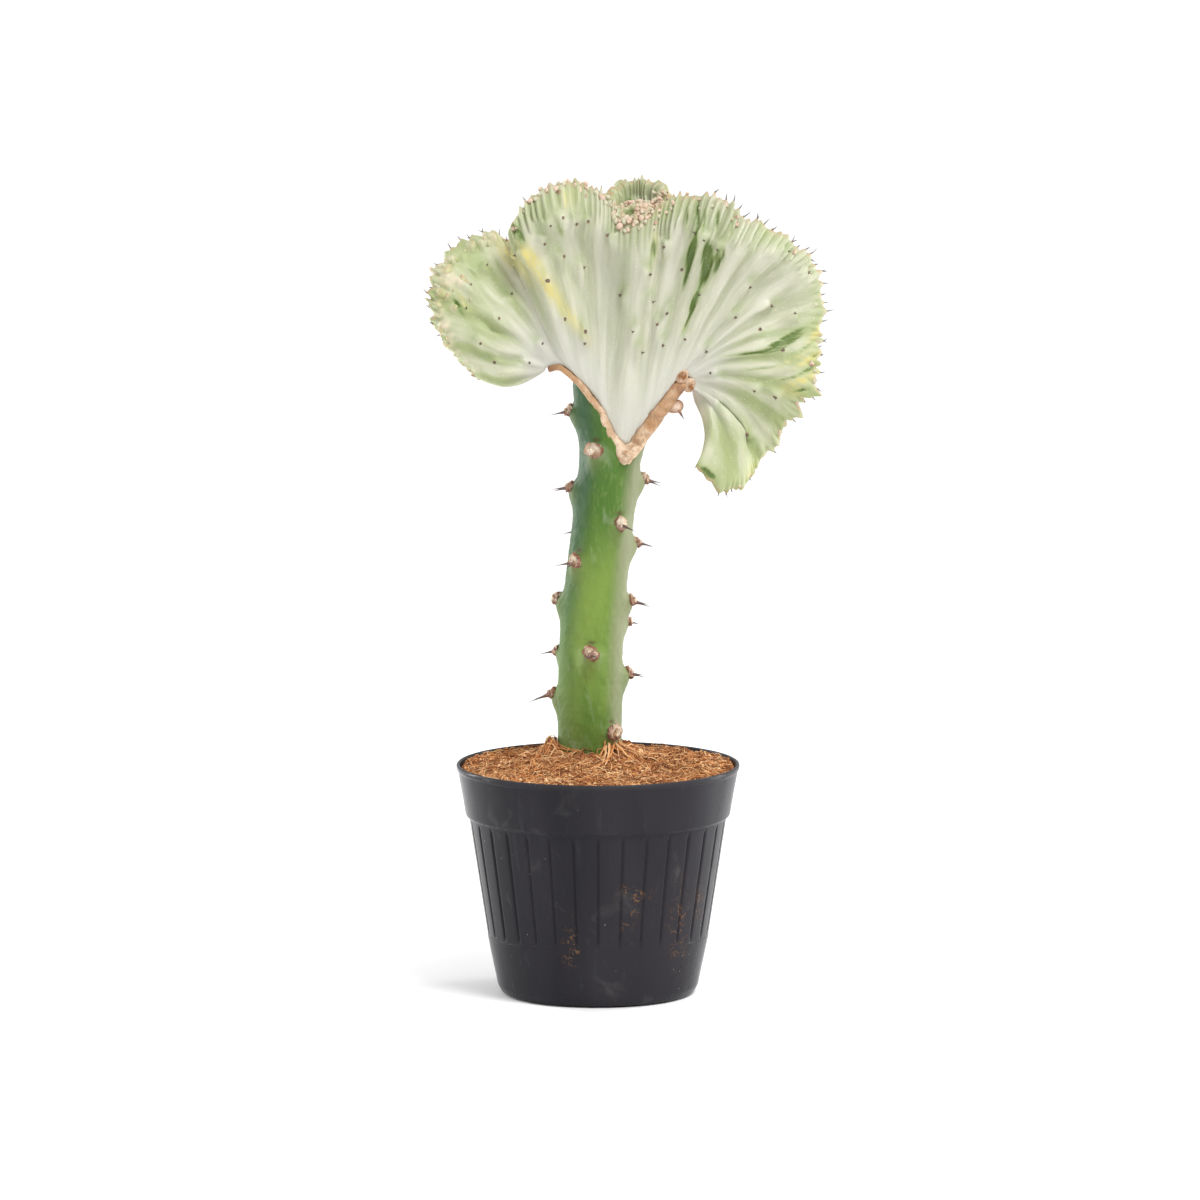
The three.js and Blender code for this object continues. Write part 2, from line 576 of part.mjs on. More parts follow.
// The lumpy crown between the rim and the fold behind it: [x, y, z] of its middle and its half sizes.
const CROWN_MIDDLE = [15.5, 3, 303.5];
const CROWN_HALF = [11, 9.5, 7.5];
const CROWN_LUMP = 0.06;

function crownSolid() {
  const ball = new THREE.IcosahedronGeometry(1, 2);
  const places = ball.attributes.position;
  for (let i = 0; i < places.count; i++) {
    const p = new THREE.Vector3().fromBufferAttribute(places, i);
    const lump = 1 + CROWN_LUMP * Math.sin(9 * p.x + 2) * Math.sin(11 * p.z + 5 * p.y);
    places.setXYZ(i, ...p.toArray().map((c, k) => c * lump * CROWN_HALF[k] + CROWN_MIDDLE[k]));
  }
  return solid(ball);
}

function crestGeometry() {
  const fan = solid(crestSheet(MAIN, ROWS)).add(solid(crestSheet(BACK_FOLD, FOLD_ROWS))).add(crownSolid());
  return geometryOf(largest(join([fan, ...crestSpines()])));
}

function material(color, roughness, metalness = 0) {
  return new THREE.MeshStandardMaterial({ color, roughness, metalness });
}

const plastic = () => material('#26282b', 0.45);
const coir = () => material('#a9683a', 0.95);
const greenSkin = () => material('#56863f', 0.5);
const cork = () => material('#c79a70', 0.85);
const paleFlesh = () => material('#d3dac2', 0.5);

function named(name, geometry, finish) {
  const mesh = new THREE.Mesh(geometry, finish);
  mesh.name = name;
  return mesh;
}

const group = new THREE.Group();
group.add(
  named('pot', potGeometry(), plastic()),
  named('growing_medium', soilGeometry(), coir()),
  named('rootstock', stemGeometry(), greenSkin()),
  named('graft_callus', callusGeometry(), cork()),
  named('crest', crestGeometry(), paleFlesh()),
);

export default group;
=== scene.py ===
import math

import bpy
import numpy as np
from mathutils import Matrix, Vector


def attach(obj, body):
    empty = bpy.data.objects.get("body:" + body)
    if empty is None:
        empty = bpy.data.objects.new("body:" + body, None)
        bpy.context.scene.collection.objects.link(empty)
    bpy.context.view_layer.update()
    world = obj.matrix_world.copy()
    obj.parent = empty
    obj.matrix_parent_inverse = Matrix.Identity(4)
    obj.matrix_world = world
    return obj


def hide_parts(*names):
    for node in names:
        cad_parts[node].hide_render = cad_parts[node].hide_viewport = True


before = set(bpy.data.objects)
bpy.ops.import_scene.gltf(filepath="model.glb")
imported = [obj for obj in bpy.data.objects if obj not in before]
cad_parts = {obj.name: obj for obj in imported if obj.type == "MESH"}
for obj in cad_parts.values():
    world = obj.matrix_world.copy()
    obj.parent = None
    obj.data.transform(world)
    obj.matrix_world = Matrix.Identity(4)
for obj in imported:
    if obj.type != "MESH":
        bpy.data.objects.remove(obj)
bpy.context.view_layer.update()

# Sizes in millimetres. The front of the plant faces -Y. Against the solids, the rim of the crest is thinner, its ribs
# are more and finer, its teeth are longer and the pot's flutes are shallower, as they look in the photo.
MM = 0.001
RIM_RADIUS, POT_HEIGHT, BASE_RADIUS, WALL, POT_FLOOR = 55.0, 90.5, 35.0, 1.2, 1.6
COLLAR_FOOT, COLLAR_RADIUS, FLUTE_FOOT, FLUTES, FLUTE_DEPTH = 70.5, 51.3, 23.7, 32, 0.55
DRAIN_HOLES, DRAIN_RADIUS, DRAIN_CIRCLE = 8, 2.6, 24.0
SOIL_LEVEL, SOIL_RADIUS, MOUND_HEIGHT, MOUND_SPREAD, HEAP = 88.6, 52.6, 10.0, 21.0, 0.6
# How near to the middle of the stem's foot a fibre, and a crumb, may come.
FIBRE_CLEAR, CRUMB_CLEAR = 12.9, 13.6
HOLE_FLOOR, STEM_LENGTH, STEM_RADIUS, STEM_DEPTH = 46.0, 184.0, 12.4, 7.0
STEM_LEAN = np.array([-3.4, -3.4, -3.4, -3.1, -2.6, -0.7, 1.9, 4.6, 7.4])
STEM_SPINE = 4.9
# Heights between which the stem tapers, and between which it flares under the graft.
TAPER, FLARE = (120, 190), (206, 240)
NECK_DEPTH, BODY_THICKNESS, RIM_THICKNESS, BELLY = 2.0, 8.5, 4.4, 2.5
RIBS, RIDGES, RIB_HEIGHT, RIDGE_HEIGHT, TOOTH, TOOTH_REACH = 118, 21, 2.0, 1.25, 2.6, 0.0095
GOLDEN = 0.618
# Along a ray, as a share of it: where the shoulder swells and how widely, and how much of the rim is rounded. Then
# how much of each end of the fan is rounded, as a share of the rim.
SHOULDER_AT, SHOULDER_WIDTH, RIM_ROUND, END_ROUND = 0.85, 0.12, 0.1, 0.035
# The nose at an areole: how far it runs up to it, how soon it ends past it, and half its width.
NOSE_RUN, NOSE_END, NOSE_HALF = 9.0, 2.2, 1.9
STAIN_DEPTH, LOBULE_RISE, SWELLING, PAD_SEAT = 1.6, 2.0, 3.0, 2.5
STEM_FOOT = np.array([-3.4, STEM_DEPTH])
TOOTH_PLACES = 180

# Tubercles of the stem: [height, bearing in degrees from the front towards +X, spines].
TUBERCLES = np.array([
    [103, 43, 0], [117, -92, 2], [125, 93, 2], [128, 160, 2], [133, -118, 1], [135, 0, 2], [145, 112, 1],
    [149, -160, 2], [154.5, -95, 0], [154, 88, 2], [163, 172, 2], [171, -43, 2], [177, 95, 2], [180, -140, 2],
    [186, 30, 2], [191, 150, 2], [199, -92, 2], [202, 95, 2], [207, -172, 2], [215, -30, 0], [229, -92, 1],
])

# The centre lines of the two arms of the graft's V: [x, z, half the width, half the depth].
LEFT_ARM = np.array([
    [-19.4, 245.2, 0.9, 4], [-14.9, 246.2, 1.2, 6], [-9.8, 242.6, 1.4, 7.6], [-4.6, 236.9, 1.5, 9.4],
    [0.2, 230, 1.7, 11], [4.7, 221, 1.8, 12.2], [9.9, 211.8, 3.1, 12.8],
])
RIGHT_ARM = np.array([
    [9.9, 211.8, 3.9, 12.8], [14.4, 216, 2.7, 12.4], [18.9, 222.2, 2.6, 11.4], [23.5, 228.2, 2.5, 10],
    [28.4, 234.8, 2.3, 8.4], [33.8, 241.2, 1.9, 6.6],
])

# The mean line of the crest's rim, [x, y, z], from under the left lobe over the top to the hanging lobe.
RIM_LINE = np.array([
    [-47, 4, 242.5], [-53.8, -2, 252.6], [-61.6, -8, 264.4], [-64, -10, 277.6], [-60, -4, 287.6], [-49.6, 6, 294.8],
    [-38.4, 12, 296.2], [-31.6, 3, 291.6], [-32.6, -8, 304.3], [-25.2, -8, 313.8], [-14.8, -2, 319], [-3.9, 3, 317.2],
    [4.7, 0, 312.8], [10.9, -7, 305.4], [19.5, -9, 307.2], [27.3, -6.8, 313.3], [37.6, -8, 314.8], [48.6, -10, 313.6],
    [57.8, -8, 305.4], [67.9, -2, 300.4], [77.1, 4, 293.2], [84.4, 9, 284.4], [87, 10, 271.5], [86, 4, 260.4],
    [84.8, -4, 250.2], [83.4, -10, 240], [75.6, -6, 231], [69.6, 0, 218], [60.6, 2, 207.6], [56.4, -4, 202],
    [48.6, -10, 200.4], [37.8, -14, 209.6],
])

# Where the crest's rays start: [x, z, half the flesh's thickness there].
NECK_LINE = np.array([
    [-20.8, 244.8, 2.4], [-20.3, 246.4, 2.8], [-18.8, 247.3, 3.4], [-16.6, 247.9, 4.4], [-13.4, 247.6, 5.4],
    [-9, 244.6, 6.4], [-4.4, 239.9, 7.4], [0.8, 233.2, 8.4], [5.9, 223.9, 9.2], [10.5, 217.4, 9.8], [15.8, 223.5, 8.8],
    [21.2, 231, 7.6], [26.2, 237.6, 6.4], [30.8, 242.6, 5.6], [33, 243.9, 5.2], [34.8, 243.8, 4.8], [36, 242.9, 4.4],
    [36.5, 241.7, 4.2], [36.5, 240.6, 4.2], [36.2, 239.7, 4.2], [35.4, 238.7, 4.6],
])
RAY_BOW = np.array([
    [0, -8], [0, 3], [0, 6], [-3, 4], [-1, 0], [0, 0], [-1, 6], [0, 8], [2, 8], [6, 6], [11, 2],
])
SHOULDER = np.array([1, 2, 2, 3, 2, 3, 7, 8, 5, 4, 7, 8, 5, 2, 1, 2, 1, 2, 2, 1])

# The large teeth of the rim: [place along it out of TOOTH_PLACES, how far the tooth stands out].
RIM_TEETH = np.array([
    [3, 1.6], [5, 1.8], [7, 5], [9.4, 2.4], [12, 3.6], [14.6, 2.4], [17, 2.2], [19.6, 2.6], [22, 2.2], [25, 2.8],
    [27.4, 2.4], [30, 2.6], [33, 1.8], [45, 1.8], [52, 1.6], [107, 2.4], [113, 1.8], [119, 2], [130, 2.4], [138, 2],
    [146, 4.4], [151, 4.8], [157, 2], [162, 2], [169, 2.4], [175, 2.4],
])

# How strong the ribs are, and where they start, at places spread evenly along the rim.
RIB_SHARE = np.array([0.25, 0.3, 0.4, 0.5, 0.55, 0.8, 0.8, 0.5, 0.3, 0.5, 1.15, 1.15, 0.65, 0.4, 0.3, 0.3, 0.35,
                      0.35, 0.25, 0.2])
RIB_START = np.array([0.9, 0.9, 0.9, 0.89, 0.885, 0.875, 0.87, 0.865, 0.87, 0.87, 0.855, 0.855, 0.88, 0.91, 0.91,
                      0.91, 0.91, 0.91, 0.91, 0.92])

MAIN = {"rim": RIM_LINE, "neck": NECK_LINE, "bow": RAY_BOW, "shoulder": SHOULDER, "ribs": RIBS, "seed": 0.0,
        "share": RIB_SHARE, "start": RIB_START}
BACK_FOLD = {
    "rim": np.array([[4.2, 3, 310.0], [6.6, 13, 314.4], [11.4, 18, 316.8], [18.4, 18, 317.2], [24.8, 14, 315.4],
                     [27.6, 2, 311.4]]),
    "neck": np.array([[10.0, 268.0, 3.4], [20.0, 268.0, 3.4]]),
    "bow": np.array([[-3, 0], [0, 0], [3, 0]]),
    "shoulder": np.array([0, -3, -4, -3, 0]),
    "ribs": 16, "seed": 4.0,
    "share": np.array([1.0, 1.0]), "start": np.array([0.7, 0.7]),
}

# The lumpy crown between the rim and the fold behind it: its middle and its half sizes.
CROWN_MIDDLE, CROWN_HALF = np.array([15.5, 3.0, 303.5]), np.array([11.0, 9.5, 7.5])
CROWN_PIT, PIT_RADIUS = np.array([12.0, -3.4, 308.8]), 2.2

# Areoles on the front of the fan, [x, z], seen from the front.
FRONT_AREOLES = np.array([
    [-29.6, 292.7], [-20.3, 282.5], [-35.1, 274.2], [-13.7, 267.9], [-5.5, 262], [-5.5, 257.7], [-40.6, 265.6],
    [-46.4, 258.1], [-23, 256.1], [-40.6, 251], [-28, 249.4], [-51.1, 279.4], [-53.4, 270.7], [-44.9, 286],
    [-14.8, 291.6], [-6.6, 286], [-20.3, 304.6], [-14.8, 307.3], [-10.1, 305.4], [-4.7, 305.4], [5.5, 299],
    [19.5, 273.8], [26.9, 269.9], [23.4, 265.6], [14, 262.8], [15.6, 254.1], [25, 257.3], [32.8, 260], [32.8, 288],
    [26.1, 297.1], [18.7, 285.7], [39, 302.2], [41.7, 300.6], [47.2, 297.1], [39, 277.4], [57.7, 279.4], [41, 254.5],
    [63.2, 260], [72.5, 251.8], [45.6, 244.7], [71, 238], [45.6, 233.6], [58.5, 220.6], [72.2, 292], [80, 283.7],
    [-22, 299], [10, 276], [52, 268], [66, 271], [76, 266], [62, 240],
])

# The back bears the front's stains mirrored: x there is MIRROR less x.
MIRROR = 24.0
# Stains of the flesh, seen from the front: [x, z, half length, half width, lean in degrees from upright to the
# right, strength]. Some of the green ones are painted shade: dark bands in folds, under the shoulder and in rib
# grooves.
GREEN_STAINS_AND_SHADE = np.array([
    [36.4, 294, 8, 1.6, 14, 1.2], [34.2, 283, 5.5, 0.8, 16, 0.9], [42.4, 290.5, 8.6, 2.4, 2, 1.2],
    [41, 284, 4.5, 1.2, 18, 0.8], [46.6, 290.5, 6, 1.2, 8, 1], [48.6, 293, 4, 0.6, 2, 0.8],
    [37.3, 273.4, 5, 1.3, 18, 1.1], [34.4, 264.8, 5, 0.6, 24, 0.7], [21.6, 294.6, 5, 1.5, 4, 0.75],
    [20.4, 287.6, 3, 1, 0, 0.5], [-14.6, 302, 4.5, 1.3, -16, 0.7], [-31, 300.6, 5, 1.6, -34, 1],
    [72.6, 257.4, 10, 2, 64, 1.05], [58, 252.8, 9, 0.8, 82, 0.7], [80.6, 255, 6, 0.9, 60, 0.6],
    [64, 247.6, 9, 0.7, 82, 0.6], [81.4, 247, 6, 1, 66, 0.65], [79.6, 239.4, 6, 0.9, 76, 0.65],
    [73, 243.6, 6, 0.6, 76, 0.5], [-47, 282, 7, 1.9, -34, 0.45], [-54.4, 272.5, 5.5, 1.2, -32, 0.7],
    [-40, 262, 9, 1.5, -62, 0.4], [-38.6, 286, 6, 0.8, -24, 0.45], [-55, 287.4, 5, 0.6, 112, 0.5],
    [-49, 262.5, 8, 2.4, -60, 0.35], [-10, 283, 11, 1.2, -24, 0.3], [12, 309.4, 2, 1.8, 0, 1],
    [41.6, 207.2, 4.6, 1.8, -56, 1.4], [43.6, 226, 12, 1.6, -14, 0.35], [58, 218, 12, 3, -30, 0.25],
    [34.4, 307, 4.5, 0.7, 4, 0.8], [38.6, 307.4, 5, 0.8, 2, 1], [41.2, 306.4, 4.4, 0.7, 4, 0.8],
    [46.4, 306.6, 4.5, 0.8, 4, 0.9], [52, 303, 4, 0.7, 14, 0.7], [84.4, 252, 2.5, 0.7, 60, 0.6],
])
YELLOW_STAINS = np.array([
    [-26.4, 291.6, 6, 3, -38, 1], [-19.6, 280, 10, 2.6, -32, 0.8], [-10.5, 267, 10, 2.2, -36, 0.6],
    [-36, 291, 7, 2.6, -34, 0.6], [-30, 286, 7, 1.6, -34, 0.6], [84.6, 259.4, 4, 1.4, 46, 0.9],
    [79.4, 243.4, 7, 1.5, 68, 0.9], [82.6, 251, 6, 1.2, 62, 0.8], [75.6, 238, 3.6, 1.8, 80, 0.6],
    [76, 251, 7, 0.9, 64, 0.4], [22, 296, 7, 1.2, 4, 0.4], [-60.4, 277, 4, 2, 0, 0.4], [60, 206, 5, 2.4, 20, 0.3],
    [-12, 314, 4, 3, 0, 0.4], [-52.6, 274.5, 4, 0.9, -30, 0.5],
])
# Broad hollows of the front: [x, z, half length, half width, lean in degrees, depth in mm].
HOLLOWS = np.array([
    [6.5, 277, 19, 6, 4, 2.4], [-9, 281, 14, 2, -24, 1.3], [18.4, 277, 9, 1.6, 0, 0.7], [25, 270, 12, 1.5, 20, 1],
    [-40, 263, 13, 1.8, -62, 1.2], [-47, 279, 11, 1.8, -40, 1.2], [-33, 281, 13, 1.4, -34, 1.1],
    [-33, 251, 11, 1.6, -84, 0.9], [60, 250.6, 14, 1.3, 82, 1], [70, 244.6, 12, 1.2, 72, 1],
    [49, 222, 15, 1.8, -20, 1.2], [60, 226, 13, 1.6, -36, 1.1], [52, 276, 15, 2.4, 34, 0.5],
    [66, 283, 12, 2.2, 40, 0.5], [70, 270, 12, 2.2, 56, 0.5], [1.5, 297, 8, 1.6, 4, 0.9], [-25, 304, 7, 1.6, -16, 0.9],
    [30.6, 296, 10, 1.3, 14, 1],
])
# The fleshy lobules at the edge of the left lobe: [x, z, half width].
LOBULES = np.array([
    [-58.6, 283, 2.9], [-53.6, 281.6, 2], [-61.2, 277.6, 1.6], [-62.6, 273.4, 1.5], [-58.4, 276.2, 1.5],
    [-60.8, 269.6, 1.4], [-59.4, 264.8, 2.3], [-56, 271.6, 1.6], [-57.4, 257, 1.9], [-57, 260.6, 1.3],
    [-54.2, 253.4, 1.4], [-60.4, 287.4, 1.5], [-56.4, 289.8, 1.6], [-49.6, 293.8, 1.6], [-40.6, 296.6, 2],
    [-45, 295, 1.5], [-51.2, 249.6, 1.3], [-47.4, 246.4, 1.2],
])


# Short formulas.

def smooth(low, high, x):
    """3t^2 - 2t^3, where t is how far x lies from low to high, held between 0 and 1."""
    t = np.clip((x - low) / (high - low), 0.0, 1.0)
    return t * t * (3.0 - 2.0 * t)


def mix(a, b, t):
    """a + (b - a) t."""
    return a + (b - a) * t


def bell(x, centre, width):
    """exp(-((x - centre) / width)^2)."""
    return np.exp(-(((x - centre) / width) ** 2))


def along(values, t):
    """A Catmull-Rom curve through equally spaced values, read at t from 0 to 1."""
    spans = len(values) - 1
    place = np.clip(t, 0.0, 1.0) * spans
    i = np.minimum(np.asarray(place).astype(int), spans - 1)
    f = place - i
    a, b, c, d = (values[np.clip(i + k, 0, spans)] for k in (-1, 0, 1, 2))
    return (2 * b + (c - a) * f + (2 * a - 5 * b + 4 * c - d) * f**2 + (3 * b - a - 3 * c + d) * f**3) / 2


def unit(vectors):
    """Each vector divided by its length."""
    return vectors / np.maximum(np.linalg.norm(vectors, axis=-1, keepdims=True), 1e-9)


def bearings(count, start=0.0):
    """Angles spread evenly over a full turn."""
    return (np.arange(count) + start) * 2 * np.pi / count


def polar(radius, angle, height):
    """Points at a distance from the Z axis, an angle round it and a height."""
    return np.stack(np.broadcast_arrays(radius * np.cos(angle), radius * np.sin(angle), height), -1)


def rough(x, y, z, size, seed=0.0):
    """A smooth roughness between about -1 and 1: five crossed sine waves, each finer and weaker than the last."""
    total = np.zeros(np.broadcast(x, y, z).shape)
    weight = 0.5
    pitch = 2 * np.pi / size
    for k in range(5):
        turn = seed + 1.7 * k
        a = x * np.cos(turn) + y * np.sin(turn) + 0.6 * z
        b = z * np.cos(turn * 1.3) - x * np.sin(turn * 1.3) + 0.7 * y
        c = y * np.cos(turn * 0.7) - z * np.sin(turn * 0.7) + 0.5 * x
        total += weight * np.sin(a * pitch + 2.1 * np.sin(b * pitch * 0.6)) * np.cos(c * pitch + turn)
        weight *= 0.62
        pitch *= 1.83
    return total


def rough_at(points, size, seed=0.0):
    """The same roughness at an array of points."""
    return rough(*np.moveaxis(points, -1, 0), size, seed)


# Meshes.

def grid_faces(rows, columns, closed=False):
    """Two triangles for each cell of a rows by columns grid of points. closed joins the last column to the first."""
    r = np.arange(rows - 1)[:, None]
    c = np.arange(columns if closed else columns - 1)[None, :]
    n = (c + 1) % columns
    a, b, d, e = r * columns + c, r * columns + n, (r + 1) * columns + n, (r + 1) * columns + c
    return np.concatenate([np.stack([a, b, d], -1).reshape(-1, 3), np.stack([a, d, e], -1).reshape(-1, 3)])


def weld(points, faces, values):
    """Joins points that agree to a ten-thousandth of a millimetre, and drops triangles that lose their area."""
    key = np.round(points * 1e4).astype(np.int64)
    _, first, number = np.unique(key, axis=0, return_index=True, return_inverse=True)
    faces = number.reshape(-1)[faces]
    a, b, c = faces.T
    faces = faces[(a != b) & (b != c) & (c != a)]
    return points[first], faces, {name: value[first] for name, value in values.items()}


def outward(points, faces):
    """Turns all triangles round where the volume that they close comes out negative."""
    a, b, c = (points[faces[:, k]] for k in range(3))
    volume = np.einsum("ij,ij->i", a, np.cross(b, c)).sum()
    return faces[:, ::-1] if volume < 0 else faces


def closed_skin(grid, values):
    """The skin over a grid of points whose last column joins its first, with values for the points."""
    rows, columns, _ = grid.shape
    spread = {name: np.broadcast_to(value, (rows, columns)).reshape(-1) for name, value in values.items()}
    points, faces, spread = weld(grid.reshape(-1, 3), grid_faces(rows, columns, True), spread)
    return points, outward(points, faces), spread


def together(parts):
    """Several (points, faces, values) as one."""
    start = np.cumsum([0] + [len(p[0]) for p in parts[:-1]])
    points = np.concatenate([p[0] for p in parts])
    faces = np.concatenate([p[1] + s for p, s in zip(parts, start)])
    values = {name: np.concatenate([p[2][name] for p in parts]) for name in parts[0][2]}
    return points, faces, values


def put_in(name, data):
    """A new object in the scene."""
    thing = bpy.data.objects.new(name, data)
    bpy.context.scene.collection.objects.link(thing)
    return thing


def give(mesh, name, value):
    """Stores a value at each point of a mesh."""
    mesh.attributes.new(name, "FLOAT", "POINT").data.foreach_set("value", value.astype(np.float32))


def new_piece(name, made, finish, node):
    """Puts points in millimetres, triangles and values for each point into a piece that rides with the plant."""
    points, faces, values = made
    mesh = bpy.data.meshes.new(name)
    mesh.vertices.add(len(points))
    mesh.vertices.foreach_set("co", (points * MM).astype(np.float32).ravel())
    mesh.loops.add(faces.size)
    mesh.loops.foreach_set("vertex_index", faces.astype(np.int32).ravel())
    mesh.polygons.add(len(faces))
    mesh.polygons.foreach_set("loop_start", np.arange(0, faces.size, 3, dtype=np.int32))
    mesh.update(calc_edges=True)
    for label, value in values.items():
        give(mesh, label, value)
    mesh.shade_smooth()
    mesh.materials.append(finish)
    piece = put_in(name, mesh)
    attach(piece, "root")
    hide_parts(node)
    return piece


def tubes(paths, radii, sides, values=None):
    """Round tubes along paths of n by m points: each ring stands square to its path, and its ends are flat."""
    n, m, _ = paths.shape
    run = unit(np.gradient(paths, axis=1))
    aside = np.where(np.abs(run[..., 2:3]) > 0.9, [1.0, 0.0, 0.0], [0.0, 0.0, 1.0])
    first = unit(np.cross(run, aside))
    second = np.cross(run, first)
    turn = bearings(sides)[:, None]
    ring = first[:, :, None] * np.cos(turn) + second[:, :, None] * np.sin(turn)
    points = paths[:, :, None] + ring * radii[..., None, None]
    side = grid_faces(m, sides, True)[:, ::-1]
    cap = np.stack([np.zeros(sides - 2, int), np.arange(1, sides - 1), np.arange(2, sides)], -1)
    faces = np.concatenate([side, cap, (cap + (m - 1) * sides)[:, ::-1]])
    whole = faces[None] + (np.arange(n) * m * sides)[:, None, None]
    spread = {k: np.repeat(np.broadcast_to(v.reshape(n, -1), (n, m)), sides) for k, v in (values or {}).items()}
    return points.reshape(-1, 3), whole.reshape(-1, 3), spread


def ball_grid(rows, columns):
    """The angles above and round for a grid of points on a ball, and the points."""
    rise, turn = np.meshgrid(np.linspace(-np.pi / 2, np.pi / 2, rows), bearings(columns), indexing="ij")
    return rise, turn, np.stack([np.cos(rise) * np.cos(turn), np.cos(rise) * np.sin(turn), np.sin(rise)], -1)


def knobs(centres, out, radii, stretch, rings=5, sides=7, seed=1, values=None):
    """Lumpy balls, stretched along out: r (1 + 0.16 sin(2a + p) cos(e) + 0.1 sin(3e + p)), a and e the angles round
    and above, p a phase of each ball's own."""
    n = len(centres)
    draw = np.random.default_rng(seed)
    rise, turn, ball = ball_grid(rings + 2, sides)
    phase = draw.uniform(0, 6.28, (n, 1, 1))
    lump = 1 + 0.16 * np.sin(2 * turn + phase) * np.cos(rise) + 0.1 * np.sin(3 * rise + phase)
    local = ball * lump[..., None]
    local[..., 2] *= stretch
    local *= radii[:, None, None, None]
    out = unit(out)
    aside = np.where(np.abs(out[:, 2:3]) > 0.9, [1.0, 0.0, 0.0], [0.0, 0.0, 1.0])
    first = unit(np.cross(aside, out))
    frames = np.stack([first, np.cross(out, first), out], 1)
    points = np.einsum("nrsk,nkj->nrsj", local, frames) + centres[:, None, None]
    faces = grid_faces(rings + 2, sides, True)
    whole = faces[None] + (np.arange(n) * (rings + 2) * sides)[:, None, None]
    height = np.broadcast_to(np.sin(rise) * 0.5 + 0.5, (n, *rise.shape))
    spread = {k: np.repeat(v, rise.size) for k, v in (values or {}).items()}
    spread["tip"] = height.ravel()
    spread["low"] = ((centres[:, None, None, 2] - points[..., 2]) / radii[:, None, None]).ravel()
    return weld(points.reshape(-1, 3), whole.reshape(-1, 3), spread)


# The crest.

def mid_point(sheet, u, v):
    """The middle of the flesh: the straight ray from neck to rim, bowed by 2v(1 - v), with y = neck to rim by
    v^1.4, less the shoulder's bell and a belly of sin^2(pi v)."""
    rim = [along(sheet["rim"][:, k], u) for k in range(3)]
    neck = [along(sheet["neck"][:, k], u) for k in range(2)]
    bow = [along(sheet["bow"][:, k], u) for k in range(2)]
    hump = 2 * v * (1 - v)
    x = mix(neck[0], rim[0], v) + hump * bow[0]
    z = mix(neck[1], rim[2], v) + hump * bow[1]
    y = mix(NECK_DEPTH, rim[1], v**1.4) - along(sheet["shoulder"], u) * bell(v, SHOULDER_AT, SHOULDER_WIDTH)
    return np.stack([x, y - BELLY * np.sin(np.pi * v) ** 2, z], -1)


def mid_normal(sheet, u, v):
    """The cross product of the steps along the rim and up the ray."""
    e = 0.004
    across = mid_point(sheet, np.minimum(u + e, 1), v) - mid_point(sheet, np.maximum(u - e, 0), v)
    up = mid_point(sheet, u, np.minimum(v + e, 1)) - mid_point(sheet, u, np.maximum(v - e, 0))
    return unit(np.cross(across, up))


def rim_way(sheet, u):
    """The direction in which the rays leave the fan at its rim."""
    return unit(mid_point(sheet, u, np.ones_like(u)) - mid_point(sheet, u, np.full_like(u, 0.9)))


def half_thickness(sheet, u, v):
    """Half the flesh: from the neck's over the body's to the rim's, times a quarter round at the rim and ends."""
    body = mix(along(sheet["neck"][:, 2], u) * 2, BODY_THICKNESS, smooth(0, 0.45, v))
    thick = mix(body, RIM_THICKNESS, smooth(0.4, 0.92, v))
    rim_round = np.sqrt(1 - np.clip((v - (1 - RIM_ROUND)) / RIM_ROUND, 0, 1) ** 2)
    end_round = np.sqrt(1 - (1 - np.clip(np.minimum(u, 1 - u) / END_ROUND, 0, 1)) ** 2)
    return thick / 2 * rim_round * end_round


def rib_place(sheet, u):
    """The place among the ribs, whole on each rib's top: u times their number, with two waves that make some
    ribs wider than others."""
    return sheet["ribs"] * u + 0.3 * np.sin(67 * u) + 0.13 * np.sin(151 * u)


def rib_shape(sheet, u):
    """1 on a rib's rounded top and 0 in the narrow groove beside it: 1 - (1 - c)^2.2, c a triangle wave of the
    place among the ribs."""
    c = np.abs(2 * (rib_place(sheet, u) % 1.0) - 1)
    return 1 - (1 - c) ** 2.2


def calm(u):
    """The share of their strength that the folds keep: half of it over the middle and right of the top."""
    return 1 - 0.5 * smooth(0.27, 0.35, u) * (1 - smooth(0.66, 0.76, u))


def ridge_shape(u, side):
    """2 (cos^2(pi 21 u + 1.5 w) + 0.05)^0.375 - 1, where w is a slow wander of u: broad tops, narrow furrows."""
    phase = np.where(side > 0, 0.0, 1.7)
    wander = 0.9 * np.sin(9 * u + phase) + 0.5 * np.sin(23 * u + 2 * phase)
    return 2 * (np.cos(np.pi * RIDGES * u + 1.5 * wander) ** 2 + 0.05) ** 0.375 - 1, wander


def noses(points, side):
    """Each areole's nose: a ridge exp(-(b / half)^2) that rises along the ray up to the areole and breaks off
    past it, where b is the distance across the ray; and a painted shadow on the flesh past it."""
    raised, painted_nose_shadow = np.zeros(points.shape[:-1]), np.zeros(points.shape[:-1])
    for x, z, dx, dz, face, height in NOSES:
        a = (points[..., 0] - x) * dx + (points[..., 2] - z) * dz
        b = (points[..., 0] - x) * dz - (points[..., 2] - z) * dx
        here = (side * face > 0) * bell(b, 0, NOSE_HALF)
        raised += height * here * smooth(-NOSE_RUN, -0.5, a) * (1 - smooth(0.2, NOSE_END, a))
        painted_nose_shadow += here * smooth(0.3, 1.8, a) * (1 - smooth(2.5, 8, a))
    return raised, np.clip(painted_nose_shadow, 0, 1)


def lobules(points, side):
    """The sum of exp(-(d / r)^3) over the lobules, d the distance from each as seen from the front."""
    total = np.zeros(points.shape[:-1])
    for x, z, r in LOBULES:
        d = np.hypot(points[..., 0] - x, points[..., 2] - z)
        total += r / 2.2 * np.exp(-((d / r) ** 3))
    return total * (side > 0)


